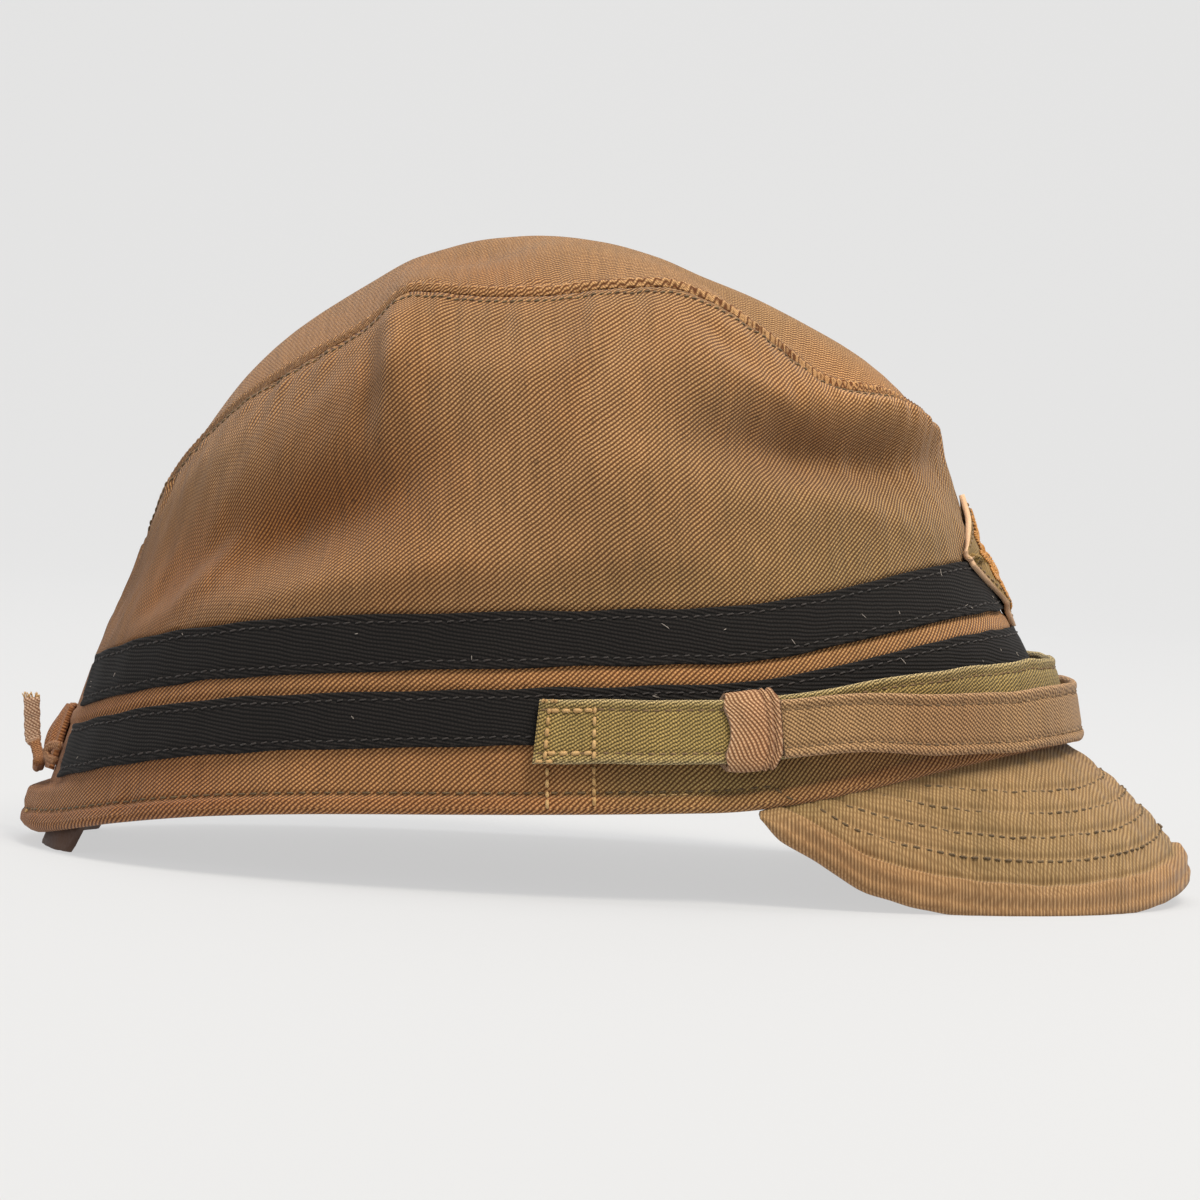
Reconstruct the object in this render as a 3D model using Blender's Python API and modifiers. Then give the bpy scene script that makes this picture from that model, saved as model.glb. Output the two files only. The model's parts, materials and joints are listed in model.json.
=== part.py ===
"""A field cap of cotton twill, resting on its peak and the rear of its band.

The cap is drawn in its own frame and then turned into its resting pose. In its own frame the origin is the
centre of the head opening at the level of the rim's sides, +X points out over the peak, -Y to the wearer's
right and +Z up. An angle round the cap runs from 0 at the front centre, through 90 degrees at the wearer's
left and -90 at the wearer's right, to 180 at the rear centre. A height on the cap's skin is measured along
the cloth, up from the rim. All sizes are in metres.
"""

import math

import bmesh
import bpy
import numpy as np
from mathutils import Matrix

# Head opening, measured outside the band at the rim.
RIM_LENGTH = 0.2200
RIM_WIDTH = 0.1440
RIM_FRONT_RISE = 0.0100
RIM_REAR_DIP = 0.0090
RIM_EGG = 0.04
RIM_AHEAD = 0.0020

# Band of double cloth. It leans in towards its top edge.
BAND_HEIGHT = 0.0408
BAND_HEIGHT_FRONT = 0.0424
BAND_HEIGHT_REAR = 0.0384
BAND_WALL = 0.0024
BAND_LEAN_FRONT = math.radians(27.0)
BAND_LEAN_SIDE = math.radians(9.0)
BAND_LEAN_REAR = math.radians(20.0)
HEM_HEIGHT = 0.0044
HEM_ROLL = 0.0005
REAR_HEM_BULGE = 0.0040
REAR_HEM_ANGLE = math.radians(16.0)

# Soft crown: two side panels and a long top panel.
CROWN_HEIGHT = 0.1174
PANEL_LENGTH = 0.1680
PANEL_WIDTH = 0.0860
CROWN_WALL = 0.0016
SIDE_FULLNESS = 0.0075
SEAM_RIB = 0.0008
RIB_FROM = 0.93
TOP_TIP_ANGLE = math.radians(4.0)

# Two black tapes, sewn flat on the band. The upper one ends level with the band's top edge.
TAPE_WIDTH = 0.0115
TAPE_GAP = 0.0040
TAPE_THICK = 0.0008
TAPE_END = math.radians(163.5)

# The thick part of the rear hem reaches up to the lower tape.
REAR_HEM_HEIGHT = BAND_HEIGHT_REAR - 2 * TAPE_WIDTH - TAPE_GAP

# Peak, bent down along the front of the rim.
PEAK_SPREAD = math.radians(67.0)
PEAK_REACH = 0.0268
PEAK_FLARE = 0.0010
PEAK_DROP = 0.0222
PEAK_THICK = 0.0036
PEAK_ARCH = 0.0022
PEAK_EDGE_ROUND = 0.0008

# Chin strap of two cloth halves, with a loop at the end of each.
STRAP_THICK = 0.0015
GREEN_WIDTH = 0.0129
TAN_WIDTH = 0.0124
KEEPER_FROM = math.radians(65.4)
KEEPER_TO = math.radians(72.0)
KEEPER_WALL = 0.0010
KEEPER_MARGIN = 0.0004

# Patch on the front centre. Just above the upper tape it steps down onto the crown.
BADGE_LOW = 0.0264
BADGE_HIGH = 0.0570
BADGE_SIDE_LOW = 0.0408
BADGE_SIDE_HIGH = 0.0448
BADGE_WIDTH = 0.0500
BADGE_THICK = 0.0012
BADGE_STEP = 0.0016

# Drawn-in cloth and tie at the rear of the band.
GUSSET_ABOVE_HEM = 0.0021
GUSSET_HEIGHT = 0.0140
GUSSET_LOW = REAR_HEM_HEIGHT + GUSSET_ABOVE_HEM
GUSSET_HALF_ANGLE = math.radians(9.0)
GUSSET_NARROWING = 0.45
GUSSET_PROUD = 0.0026
GUSSET_RIPPLE = 0.3
GUSSET_WALL = 0.0012
TIE_THICK = 0.0024
LOOP_THICK = 0.0019

# Inner band, whose edge hangs below the hem at the rear.
SWEATBAND_HEIGHT = 0.0300
SWEATBAND_WALL = 0.0012
SWEATBAND_SET_UP = 0.0010
SWEATBAND_DROOP = 0.0042
SWEATBAND_DROOP_CENTRE = 0.0010
SWEATBAND_DROOP_ANGLE = math.radians(23.0)
SWEATBAND_DROOP_FADE = math.radians(3.0)

# Gaps kept between pieces that touch on the real cap, and how deep the cloth flattens where it rests.
GAP = 0.0003
REST_FLAT = 0.0007

# Stations round the whole cap. Every piece on the band uses the same ones, so that their facets run parallel.
STATIONS = 64

# The top panel from its rear tip to its front tip. along is a share of half its length, seam and crest are
# heights as shares of the crown's height, and width is a share of half the panel's width, on an ellipse.
TOP_PANEL = [
    {"along": -1.00, "seam": 0.446, "crest": 0.446, "width": 0.62},
    {"along": -0.93, "seam": 0.552, "crest": 0.556, "width": 0.66},
    {"along": -0.83, "seam": 0.636, "crest": 0.658, "width": 0.74},
    {"along": -0.74, "seam": 0.694, "crest": 0.736, "width": 0.82},
    {"along": -0.60, "seam": 0.758, "crest": 0.824, "width": 0.92},
    {"along": -0.42, "seam": 0.830, "crest": 0.903, "width": 0.98},
    {"along": -0.30, "seam": 0.894, "crest": 0.952, "width": 1.00},
    {"along": -0.10, "seam": 0.884, "crest": 0.994, "width": 1.00},
    {"along": 0.00, "seam": 0.884, "crest": 1.000, "width": 1.00},
    {"along": 0.15, "seam": 0.896, "crest": 0.996, "width": 1.00},
    {"along": 0.30, "seam": 0.902, "crest": 0.963, "width": 1.00},
    {"along": 0.42, "seam": 0.876, "crest": 0.925, "width": 0.99},
    {"along": 0.56, "seam": 0.812, "crest": 0.879, "width": 0.98},
    {"along": 0.72, "seam": 0.730, "crest": 0.813, "width": 1.00},
    {"along": 0.86, "seam": 0.712, "crest": 0.750, "width": 1.03},
    {"along": 1.00, "seam": 0.658, "crest": 0.658, "width": 1.00},
]
DOME_POWER = 1.9

# The thick turned hem at the rear centre, from the rim up. up is a share of REAR_HEM_HEIGHT and out a share
# of REAR_HEM_BULGE. The groove between its two rolls is the line of the hem's stitches.
REAR_HEM = [
    {"up": 0.00, "out": 0.45},
    {"up": 0.13, "out": 0.72},
    {"up": 0.30, "out": 0.58},
    {"up": 0.52, "out": 0.98},
    {"up": 0.74, "out": 1.00},
    {"up": 0.88, "out": 0.58},
    {"up": 1.00, "out": 0.00},
]

# How full a side panel stands out from the straight line between the band and the seam. up is a share of the
# panel's height and out a share of SIDE_FULLNESS.
SIDE_PROFILE = [
    {"up": 0.00, "out": 0.00},
    {"up": 0.20, "out": 0.52},
    {"up": 0.45, "out": 0.92},
    {"up": 0.70, "out": 1.00},
    {"up": 0.90, "out": 0.52},
    {"up": 1.00, "out": 0.00},
]

# Soft dents and folds of the side panels, as seen from the side. along is a share of half the panel's length,
# up a share of the crown's height, long and wide are shares of the panel's length, rise is the angle of the
# fold's line above the horizontal in degrees and out is a share of SIDE_FULLNESS, below 0 for a hollow.
SIDE_FOLDS = [
    {"side": -1, "along": -0.60, "up": 0.49, "long": 0.170, "wide": 0.055, "rise": 20, "out": -0.55},
    {"side": -1, "along": -0.30, "up": 0.36, "long": 0.160, "wide": 0.060, "rise": 10, "out": 0.28},
    {"side": -1, "along": 0.68, "up": 0.61, "long": 0.150, "wide": 0.042, "rise": -9, "out": -0.62},
    {"side": -1, "along": 0.84, "up": 0.69, "long": 0.100, "wide": 0.036, "rise": -14, "out": 0.40},
    {"side": -1, "along": -0.34, "up": 0.79, "long": 0.075, "wide": 0.024, "rise": 84, "out": 0.26},
    {"side": -1, "along": 0.28, "up": 0.66, "long": 0.120, "wide": 0.090, "rise": 60, "out": 0.24},
    {"side": 1, "along": -0.52, "up": 0.52, "long": 0.150, "wide": 0.060, "rise": 28, "out": -0.45},
    {"side": 1, "along": 0.60, "up": 0.62, "long": 0.160, "wide": 0.045, "rise": -12, "out": -0.50},
    {"side": 1, "along": 0.82, "up": 0.68, "long": 0.100, "wide": 0.036, "rise": -12, "out": 0.32},
    {"side": 1, "along": 0.06, "up": 0.58, "long": 0.110, "wide": 0.080, "rise": 70, "out": 0.22},
]

# Dents and folds of the top panel, seen from above. across is a share of half the panel's width.
TOP_FOLDS = [
    {"along": 0.60, "across": -0.45, "long": 0.150, "wide": 0.050, "turn": -12, "up": -0.50},
    {"along": 0.66, "across": 0.42, "long": 0.140, "wide": 0.050, "turn": 14, "up": -0.40},
    {"along": -0.12, "across": -0.30, "long": 0.090, "wide": 0.060, "turn": 40, "up": -0.30},
    {"along": -0.50, "across": 0.00, "long": 0.160, "wide": 0.050, "turn": 0, "up": 0.20},
]
FOLD_HEIGHT = 0.0075

# The peak's outer edge from the front centre to its end. turn is a share of a quarter turn and drop a share
# of PEAK_DROP below the sides of the rim.
PEAK_EDGE = [
    {"turn": 0.00, "drop": 0.77},
    {"turn": 0.17, "drop": 0.87},
    {"turn": 0.33, "drop": 0.96},
    {"turn": 0.50, "drop": 1.00},
    {"turn": 0.66, "drop": 0.94},
    {"turn": 0.76, "drop": 0.83},
    {"turn": 0.84, "drop": 0.68},
    {"turn": 0.92, "drop": 0.36},
    {"turn": 1.00, "drop": 0.03},
]

# The two halves of the strap. round is the angle from the front centre in degrees, height the middle of the
# strap as a share of the band's height, layer the number of strap thicknesses that it stands off, and stand
# how many more of them its upper edge stands off where the strap hangs upright before the leaning band.
GREEN_ROUTE = [
    {"round": -91, "height": 0.403, "layer": 0.0, "stand": 0.0},
    {"round": -84, "height": 0.400, "layer": 0.3, "stand": 0.0},
    {"round": -77, "height": 0.388, "layer": 1.0, "stand": 0.0},
    {"round": -64, "height": 0.380, "layer": 1.0, "stand": 0.0},
    {"round": -56, "height": 0.368, "layer": 0.8, "stand": 0.6},
    {"round": -45, "height": 0.332, "layer": 0.4, "stand": 2.2},
    {"round": -30, "height": 0.294, "layer": 0.0, "stand": 2.1},
    {"round": 0, "height": 0.262, "layer": 0.0, "stand": 1.8},
    {"round": 30, "height": 0.294, "layer": 0.0, "stand": 1.8},
    {"round": 45, "height": 0.332, "layer": 0.0, "stand": 1.2},
    {"round": 58, "height": 0.368, "layer": 0.0, "stand": 0.0},
    {"round": 65.0, "height": 0.376, "layer": 0.0, "stand": 0.0},
]
TAN_ROUTE = [
    {"round": -65.0, "height": 0.368, "layer": 2.0, "stand": 0.0},
    {"round": -56, "height": 0.325, "layer": 2.0, "stand": 0.9},
    {"round": -45, "height": 0.212, "layer": 1.4, "stand": 2.6},
    {"round": -30, "height": 0.140, "layer": 0.5, "stand": 2.8},
    {"round": 0, "height": 0.119, "layer": 0.4, "stand": 2.6},
    {"round": 30, "height": 0.140, "layer": 0.5, "stand": 2.6},
    {"round": 45, "height": 0.215, "layer": 0.95, "stand": 2.0},
    {"round": 58, "height": 0.360, "layer": 1.0, "stand": 0.0},
    {"round": 77, "height": 0.388, "layer": 1.0, "stand": 0.0},
    {"round": 84, "height": 0.400, "layer": 0.3, "stand": 0.0},
    {"round": 91, "height": 0.403, "layer": 0.0, "stand": 0.0},
]

# The rear tie from its free end to where it is sewn down, and the small loop beside it. round is the angle
# from the rear centre in degrees, towards the wearer's left, height a share of the band's height and lift the
# number of the cord's own thicknesses from its middle to the cloth under it.
TIE_ROUTE = [
    {"round": 9.0, "height": 0.59, "lift": 4.90},
    {"round": 9.0, "height": 0.41, "lift": 3.75},
    {"round": 8.2, "height": 0.36, "lift": 2.25},
    {"round": 5.0, "height": 0.31, "lift": 0.90},
    {"round": 1.0, "height": 0.306, "lift": 0.45},
    {"round": -5.0, "height": 0.35, "lift": 0.50},
]
LOOP_ROUTE = [
    {"round": -13.0, "height": 0.450, "lift": 0.50},
    {"round": -11.0, "height": 0.450, "lift": 1.10},
    {"round": -9.4, "height": 0.412, "lift": 1.50},
    {"round": -11.0, "height": 0.375, "lift": 1.10},
    {"round": -13.0, "height": 0.370, "lift": 0.50},
]
CORD_STEPS = 4

# Colours as red, green and blue, with each finish's roughness.
CLOTH_FINISHES = {
    "twill": ((0.33, 0.19, 0.085), 0.90),
    "black_tape": ((0.018, 0.014, 0.013), 0.85),
    "green_cloth": ((0.26, 0.25, 0.075), 0.90),
    "tan_cloth": ((0.40, 0.22, 0.10), 0.90),
    "patch": ((0.44, 0.27, 0.08), 0.80),
    "pale_tie": ((0.54, 0.29, 0.14), 0.90),
    "dark_leather": ((0.070, 0.030, 0.016), 0.60),
}


def smooth_step(value):
    """Rises smoothly from 0 to 1 as the value goes from 0 to 1."""
    share = min(max(value, 0.0), 1.0)
    return share * share * (3.0 - 2.0 * share)


def read_curve(rows, key, column, at):
    """Reads a smooth curve through one column of a table, at a place along the key column.

    The curve stays level between two equal values and never runs past a row's value.
    """
    keys = np.array([row[key] for row in rows], float)
    values = np.array([row[column] for row in rows], float)
    steps = np.diff(values) / np.diff(keys)
    before = steps[:-1]
    after = steps[1:]
    same_way = before * after > 0
    middle = np.where(same_way, 2 * before * after / np.where(same_way, before + after, 1.0), 0.0)
    slopes = np.concatenate([steps[:1], middle, steps[-1:]])
    place = float(np.clip(at, keys[0], keys[-1]))
    i = int(np.clip(np.searchsorted(keys, place) - 1, 0, len(keys) - 2))
    span = keys[i + 1] - keys[i]
    t = (place - keys[i]) / span
    start = (1 + 2 * t) * (1 - t) ** 2 * values[i] + t * (1 - t) ** 2 * span * slopes[i]
    end = t * t * (3 - 2 * t) * values[i + 1] + t * t * (t - 1) * span * slopes[i + 1]
    return start + end


def fold_height(along, up, row, turned):
    """The share of a fold's height at a place: a soft ridge or hollow, long one way and narrow the other."""
    angle = math.radians(row[turned])
    lengthwise = along * math.cos(angle) + up * math.sin(angle)
    crosswise = up * math.cos(angle) - along * math.sin(angle)
    reach = (lengthwise / (row["long"] * PANEL_LENGTH)) ** 2
    return math.exp(-reach - (crosswise / (row["wide"] * PANEL_LENGTH)) ** 2)


def rim_point(angle):
    """A point of the rim, on the outside of the band."""
    ahead = math.cos(angle)
    rise = RIM_FRONT_RISE * smooth_step((ahead - 0.3) / 0.7)
    dip = RIM_REAR_DIP * max(-ahead, 0.0) ** 4
    x = RIM_AHEAD + RIM_LENGTH / 2 * ahead
    y = RIM_WIDTH / 2 * math.sin(angle) * (1 - RIM_EGG * ahead)
    return np.array([x, y, rise - dip])


def outward(angle):
    """The level direction that points straight out of the cap."""
    across = np.array([math.cos(angle) / RIM_LENGTH, math.sin(angle) / RIM_WIDTH, 0.0])
    return across / np.linalg.norm(across)


def band_lean(angle):
    """How far the band leans in, between its named leans at the front, the sides and the rear."""
    ahead = math.cos(angle)
    to_front = (BAND_LEAN_FRONT - BAND_LEAN_SIDE) * max(ahead, 0.0) ** 2
    to_rear = (BAND_LEAN_REAR - BAND_LEAN_SIDE) * max(-ahead, 0.0) ** 2
    return BAND_LEAN_SIDE + to_front + to_rear


def band_height(angle):
    """The height of the band along its cloth, between its heights at the front, the sides and the rear."""
    ahead = math.cos(angle)
    to_front = (BAND_HEIGHT_FRONT - BAND_HEIGHT) * max(ahead, 0.0)
    return BAND_HEIGHT + to_front + (BAND_HEIGHT_REAR - BAND_HEIGHT) * max(-ahead, 0.0)


def band_up(angle):
    """The direction up the band's cloth."""
    lean = band_lean(angle)
    return np.array([0.0, 0.0, math.cos(lean)]) - outward(angle) * math.sin(lean)


def seam_point(angle):
    """A point of the seam between a side panel and the top panel."""
    along = math.cos(angle)
    half_width = PANEL_WIDTH / 2 * read_curve(TOP_PANEL, "along", "width", along)
    height = CROWN_HEIGHT * read_curve(TOP_PANEL, "along", "seam", along)
    return np.array([PANEL_LENGTH / 2 * along, half_width * math.sin(angle), height])


def wall_line(angle):
    """The straight line from the band's top edge to the seam: its start, its span and its outward normal."""
    start = rim_point(angle) + band_up(angle) * band_height(angle)
    span = seam_point(angle) - start
    rise = span / np.linalg.norm(span)
    normal = outward(angle) - rise * (outward(angle) @ rise)
    return start, span, normal / np.linalg.norm(normal)


def side_folds(point, angle, share):
    """How far the folds of a side panel move a point out, fading away at the band and at the seam."""
    side = 1 if math.sin(angle) > 0 else -1
    total = 0.0
    for row in SIDE_FOLDS:
        if row["side"] == side:
            along = point[0] - row["along"] * PANEL_LENGTH / 2
            up = point[2] - row["up"] * CROWN_HEIGHT
            total += row["out"] * fold_height(along, up, row, "rise")
    at_edges = smooth_step(share / 0.15) * smooth_step((1 - share) / 0.12)
    at_ends = smooth_step(abs(math.sin(angle)) / 0.3)
    return SIDE_FULLNESS * total * at_edges * at_ends


def crown_side(angle, share):
    """A point on the outside of a side panel, share of the way from the band to the seam."""
    start, span, normal = wall_line(angle)
    fullness = SIDE_FULLNESS * read_curve(SIDE_PROFILE, "up", "out", share)
    point = start + span * share + normal * fullness * math.sin(angle) ** 2
    return point + normal * side_folds(point, angle, share)


def band_swell(angle, height):
    """How far the band's outside stands out of its plain slope: the turned hem, and its bulge at the rear."""
    hem = HEM_ROLL if 0 < height < HEM_HEIGHT else 0.0
    from_rear = (math.pi - abs(angle)) / REAR_HEM_ANGLE
    bulge = REAR_HEM_BULGE * read_curve(REAR_HEM, "up", "out", height / REAR_HEM_HEIGHT)
    return hem + bulge * math.exp(-(from_rear**2))


def band_normal(angle):
    """The outward normal of the band's slope."""
    lean = band_lean(angle)
    return outward(angle) * math.cos(lean) + np.array([0.0, 0.0, math.sin(lean)])


def band_point(angle, height, off=0.0):
    """A point on the band, at a height along its cloth and a distance off its outside."""
    return rim_point(angle) + band_up(angle) * height + band_normal(angle) * off


def skin_point(angle, height, off=0.0):
    """A point on the outside of the band or, above the band, of the crown."""
    above = height - band_height(angle)
    if above <= 0:
        return band_point(angle, height, off)
    _, span, normal = wall_line(angle)
    share = min(above / np.linalg.norm(span), 1.0)
    return crown_side(angle, share) + normal * off


def top_point(angle, across):
    """A point on the outside of the top panel: across runs from -1 at one seam to 1 at the other."""
    edge = seam_point(angle)
    along = math.cos(angle)
    crest = CROWN_HEIGHT * read_curve(TOP_PANEL, "along", "crest", along)
    height = crest - (crest - edge[2]) * abs(across) ** DOME_POWER
    fold = 0.0
    for row in TOP_FOLDS:
        ahead = edge[0] - row["along"] * PANEL_LENGTH / 2
        aside = edge[1] * across - row["across"] * PANEL_WIDTH / 2
        fold += row["up"] * fold_height(ahead, aside, row, "turn")
    fade = smooth_step((1 - abs(across)) / 0.2)
    return np.array([edge[0], edge[1] * across, height + FOLD_HEIGHT * fold * fade])


def station(index):
    """The angle of one of the stations round the cap."""
    return 2 * math.pi * index / STATIONS


def stations_between(first, last):
    """The angles from first to last, through every station between them."""
    step = 2 * math.pi / STATIONS
    inner = [i * step for i in range(math.ceil(first / step), math.floor(last / step) + 1)]
    kept = [angle for angle in inner if first + 0.15 * step < angle < last - 0.15 * step]
    return [first, *kept, last]


def new_object(name, mesh_or_curve, finish):
    """Adds an object to the cap's collection, with a material of its own."""
    colour, roughness = CLOTH_FINISHES[finish]
    material = bpy.data.materials.new(name + "_" + finish)
    material.use_nodes = True
    shader = material.node_tree.nodes["Principled BSDF"]
    shader.inputs["Base Color"].default_value = (*colour, 1.0)
    shader.inputs["Roughness"].default_value = roughness
    shader.inputs["Metallic"].default_value = 0.0
    mesh_or_curve.materials.append(material)
    made = bpy.data.objects.new(name, mesh_or_curve)
    bpy.data.collections["field_cap"].objects.link(made)
    return made


def cloth_sheet(name, rows, finish, closed=False, ring_rows=False):
    """An open sheet lofted through rows of points, each row running anticlockwise seen from above.

    closed joins each row's last point to its first, and ring_rows joins the last row to the first one.
    """
    sheet = bmesh.new()
    verts = [[sheet.verts.new(point) for point in row] for row in rows]
    columns = len(rows[0])
    for r in range(len(rows) if ring_rows else len(rows) - 1):
        low = verts[r]
        high = verts[(r + 1) % len(rows)]
        for c in range(columns if closed else columns - 1):
            d = (c + 1) % columns
            sheet.faces.new((low[c], low[d], high[d], high[c]))
    mesh = bpy.data.meshes.new(name)
    sheet.to_mesh(mesh)
    sheet.free()
    mesh.shade_smooth()
    return new_object(name, mesh, finish)


def give_wall(piece, thickness, outside=False):
    """Gives an open sheet its thickness, inwards unless outside is set."""
    wall = piece.modifiers.new("wall", "SOLIDIFY")
    wall.thickness = thickness
    wall.offset = 1.0 if outside else -1.0
    wall.use_even_offset = False


def round_edges(piece, width, segments=1):
    """Rounds the sharp edges of a piece that already has its wall."""
    edge = piece.modifiers.new("rounded", "BEVEL")
    edge.width = width
    edge.segments = segments
    edge.limit_method = "ANGLE"
    edge.angle_limit = math.radians(60)


def band_stack(layers):
    """The distance off the band at which a strap lies that has this many strap thicknesses under it."""
    on_tape = GAP + TAPE_THICK + GAP
    return on_tape + layers * (STRAP_THICK + GAP)


def make_headband():
    """The outer band, a closed ring with a turned hem along its lower edge."""
    heights = [REAR_HEM_HEIGHT * row["up"] for row in REAR_HEM]
    angles = [station(i) for i in range(-STATIONS // 2, STATIONS // 2)]
    rows = [[band_point(a, h, band_swell(a, h)) for a in angles] for h in heights]
    rows.append([band_point(a, band_height(a)) for a in angles])
    give_wall(cloth_sheet("headband", rows, "twill", closed=True), BAND_WALL)


def make_crown_side(name, side):
    """One side panel, from just above the band to the seam under the top panel."""
    count = STATIONS // 2
    angles = [side * math.pi * i / count for i in range(count + 1)]
    angles = angles if side > 0 else angles[::-1]
    rows = []
    for share in (0.0, 0.07, 0.18, 0.31, 0.44, 0.57, 0.70, 0.82, 0.92, 1.0):
        row = []
        for angle in angles:
            length = np.linalg.norm(wall_line(angle)[1])
            lowest = GAP / length
            highest = 1 - (2 * GAP + (CROWN_WALL - SEAM_RIB / 2) * math.cos(angle) ** 2) / length
            row.append(crown_side(angle, lowest + (highest - lowest) * share))
        rows.append(row)
    panel = cloth_sheet(name, rows, "twill")
    give_wall(panel, CROWN_WALL)
    panel["centre_side"] = side


def make_crown_top():
    """The top panel, with the raised rib of the seam along both sides."""
    count = STATIONS // 2
    lines = [-1.0, -RIB_FROM, -0.87, -0.68, -0.45, -0.22, 0.0, 0.22, 0.45, 0.68, 0.87, RIB_FROM, 1.0]
    inner = [math.pi * i / count for i in range(1, count)]
    angles = [TOP_TIP_ANGLE, *inner, math.pi - TOP_TIP_ANGLE]
    rows = []
    for across in reversed(lines):
        row = [top_point(angle, across) for angle in angles]
        for i, point in enumerate(row):
            if abs(across) >= RIB_FROM or i in (0, count):
                point[2] += SEAM_RIB
        rows.append(row)
    give_wall(cloth_sheet("crown_top", rows, "twill"), CROWN_WALL)


def make_tape(name, top_height):
    """A flat tape on the band, open at the rear. top_height gives its upper edge at an angle."""
    angles = stations_between(-TAPE_END, TAPE_END)
    rows = [[band_point(a, top_height(a) - below, GAP) for a in angles] for below in (TAPE_WIDTH, 0.0)]
    give_wall(cloth_sheet(name, rows, "black_tape"), TAPE_THICK, outside=True)


def peak_edge_point(turn):
    """A point of the peak's outer edge on its upper side. turn runs from -1 to 1."""
    end = rim_point(PEAK_SPREAD)
    front = rim_point(0)[0] + PEAK_REACH
    angle = turn * math.pi / 2
    x = end[0] + (front - end[0]) * math.cos(angle)
    y = (end[1] + PEAK_FLARE) * math.sin(angle)
    z = -PEAK_DROP * read_curve(PEAK_EDGE, "turn", "drop", abs(turn))
    return np.array([x, y, z])


def make_peak():
    """The peak, from just under the rim out to its rounded edge."""
    count = 30
    rows = []
    for share in (1.0, 0.85, 0.62, 0.40, 0.18, 0.0):
        row = []
        for i in range(count + 1):
            turn = -1 + 2 * i / count
            inner = band_point(turn * PEAK_SPREAD, -GAP, -PEAK_EDGE_ROUND)
            outer = peak_edge_point(turn)
            arch = PEAK_ARCH * 4 * share * (1 - share) * math.cos(turn * math.pi / 2) ** 0.5
            lift = outward(turn * PEAK_SPREAD) * 0.7 + np.array([0.0, 0.0, 0.7])
            row.append(inner + (outer - inner) * share + lift * arch)
        rows.append(row)
    peak = cloth_sheet("peak", rows, "twill")
    give_wall(peak, PEAK_THICK)
    round_edges(peak, PEAK_EDGE_ROUND)


def make_strap(name, route, width, finish):
    """One half of the chin strap, laid round the band along its route."""
    first = math.radians(route[0]["round"])
    last = math.radians(route[-1]["round"])
    rows = [[], []]
    for angle in stations_between(first, last):
        middle = BAND_HEIGHT * read_curve(route, "round", "height", math.degrees(angle))
        off = band_stack(max(read_curve(route, "round", "layer", math.degrees(angle)), 0.0))
        stand = STRAP_THICK * read_curve(route, "round", "stand", math.degrees(angle))
        rows[0].append(band_point(angle, middle - width / 2, off))
        rows[1].append(band_point(angle, middle + width / 2, off + stand))
    give_wall(cloth_sheet(name, rows, finish), STRAP_THICK, outside=True)


def make_keeper(name, side, route, width, finish):
    """A loop of cloth round one half of the strap, which passes through it one layer off the band."""
    first, last = sorted((side * KEEPER_FROM, side * KEEPER_TO))
    inner_low = band_stack(1.0) - GAP
    inner_high = inner_low + STRAP_THICK + 2 * GAP
    half = width / 2 + KEEPER_MARGIN
    corner = KEEPER_MARGIN / 2
    centre = math.degrees(first + last) / 2
    middle = BAND_HEIGHT * read_curve(route, "round", "height", centre)
    section = [
        (-half, inner_low + corner),
        (-half + corner, inner_low),
        (half - corner, inner_low),
        (half, inner_low + corner),
        (half, inner_high - corner),
        (half - corner, inner_high),
        (-half + corner, inner_high),
        (-half, inner_high - corner),
    ]
    angles = stations_between(first, last)
    rows = [[band_point(angle, middle + up, off) for angle in angles] for up, off in reversed(section)]
    give_wall(cloth_sheet(name, rows, finish, ring_rows=True), KEEPER_WALL, outside=True)


def make_badge():
    """The patch on the front centre, a wide lozenge with short upright sides."""
    half_angle = math.asin(BADGE_WIDTH / 2 / abs(wall_line(math.pi / 2)[0][1]))
    angles = stations_between(-half_angle, half_angle)
    rows = [[] for _ in range(6)]
    for angle in angles:
        aside = abs(angle) / half_angle
        bottom = BADGE_LOW + (BADGE_SIDE_LOW - BADGE_LOW) * aside
        top = BADGE_HIGH + (BADGE_SIDE_HIGH - BADGE_HIGH) * aside
        on_tape = band_height(angle)
        on_crown = on_tape + BADGE_STEP
        heights = [bottom, (bottom + on_tape) / 2, on_tape, on_crown, (on_crown + top) / 2, top]
        for row, height in zip(rows, heights):
            off = band_stack(0.0) if height <= on_tape else 2 * GAP
            row.append(skin_point(angle, height, off))
    give_wall(cloth_sheet("badge", rows, "patch"), BADGE_THICK, outside=True)


def gusset_off(share, across):
    """How far the inside of the bunched cloth stands off the band, with its three soft folds side by side."""
    proud = math.sin(math.pi * (0.12 + 0.76 * share)) * (1 - across**2)
    ripple = 1 - GUSSET_RIPPLE + GUSSET_RIPPLE * math.cos(3 * math.pi * across)
    return GAP + GUSSET_PROUD * proud * ripple


def make_rear_gusset():
    """The bunched cloth at the rear centre, narrower towards its top."""
    rows = []
    for share in (0.0, 0.25, 0.5, 0.75, 1.0):
        row = []
        for i in range(13):
            across = -1 + i / 6
            angle = math.pi + across * GUSSET_HALF_ANGLE * (1 - GUSSET_NARROWING * share)
            height = GUSSET_LOW + GUSSET_HEIGHT * share
            row.append(band_point(angle, height, gusset_off(share, across)))
        rows.append(row)
    give_wall(cloth_sheet("rear_gusset", rows, "twill"), GUSSET_WALL, outside=True)


def rear_cloth_off(from_rear, height):
    """How far the outside of the rear cloth stands off the band's slope, on or just beside the gusset."""
    share = min(max((height - GUSSET_LOW) / GUSSET_HEIGHT, 0.0), 1.0)
    across = from_rear / (GUSSET_HALF_ANGLE * (1 - GUSSET_NARROWING * share))
    swell = band_swell(math.pi - from_rear, height)
    if abs(across) > 1:
        return swell
    return max(gusset_off(share, across) + GUSSET_WALL, swell)


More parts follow.
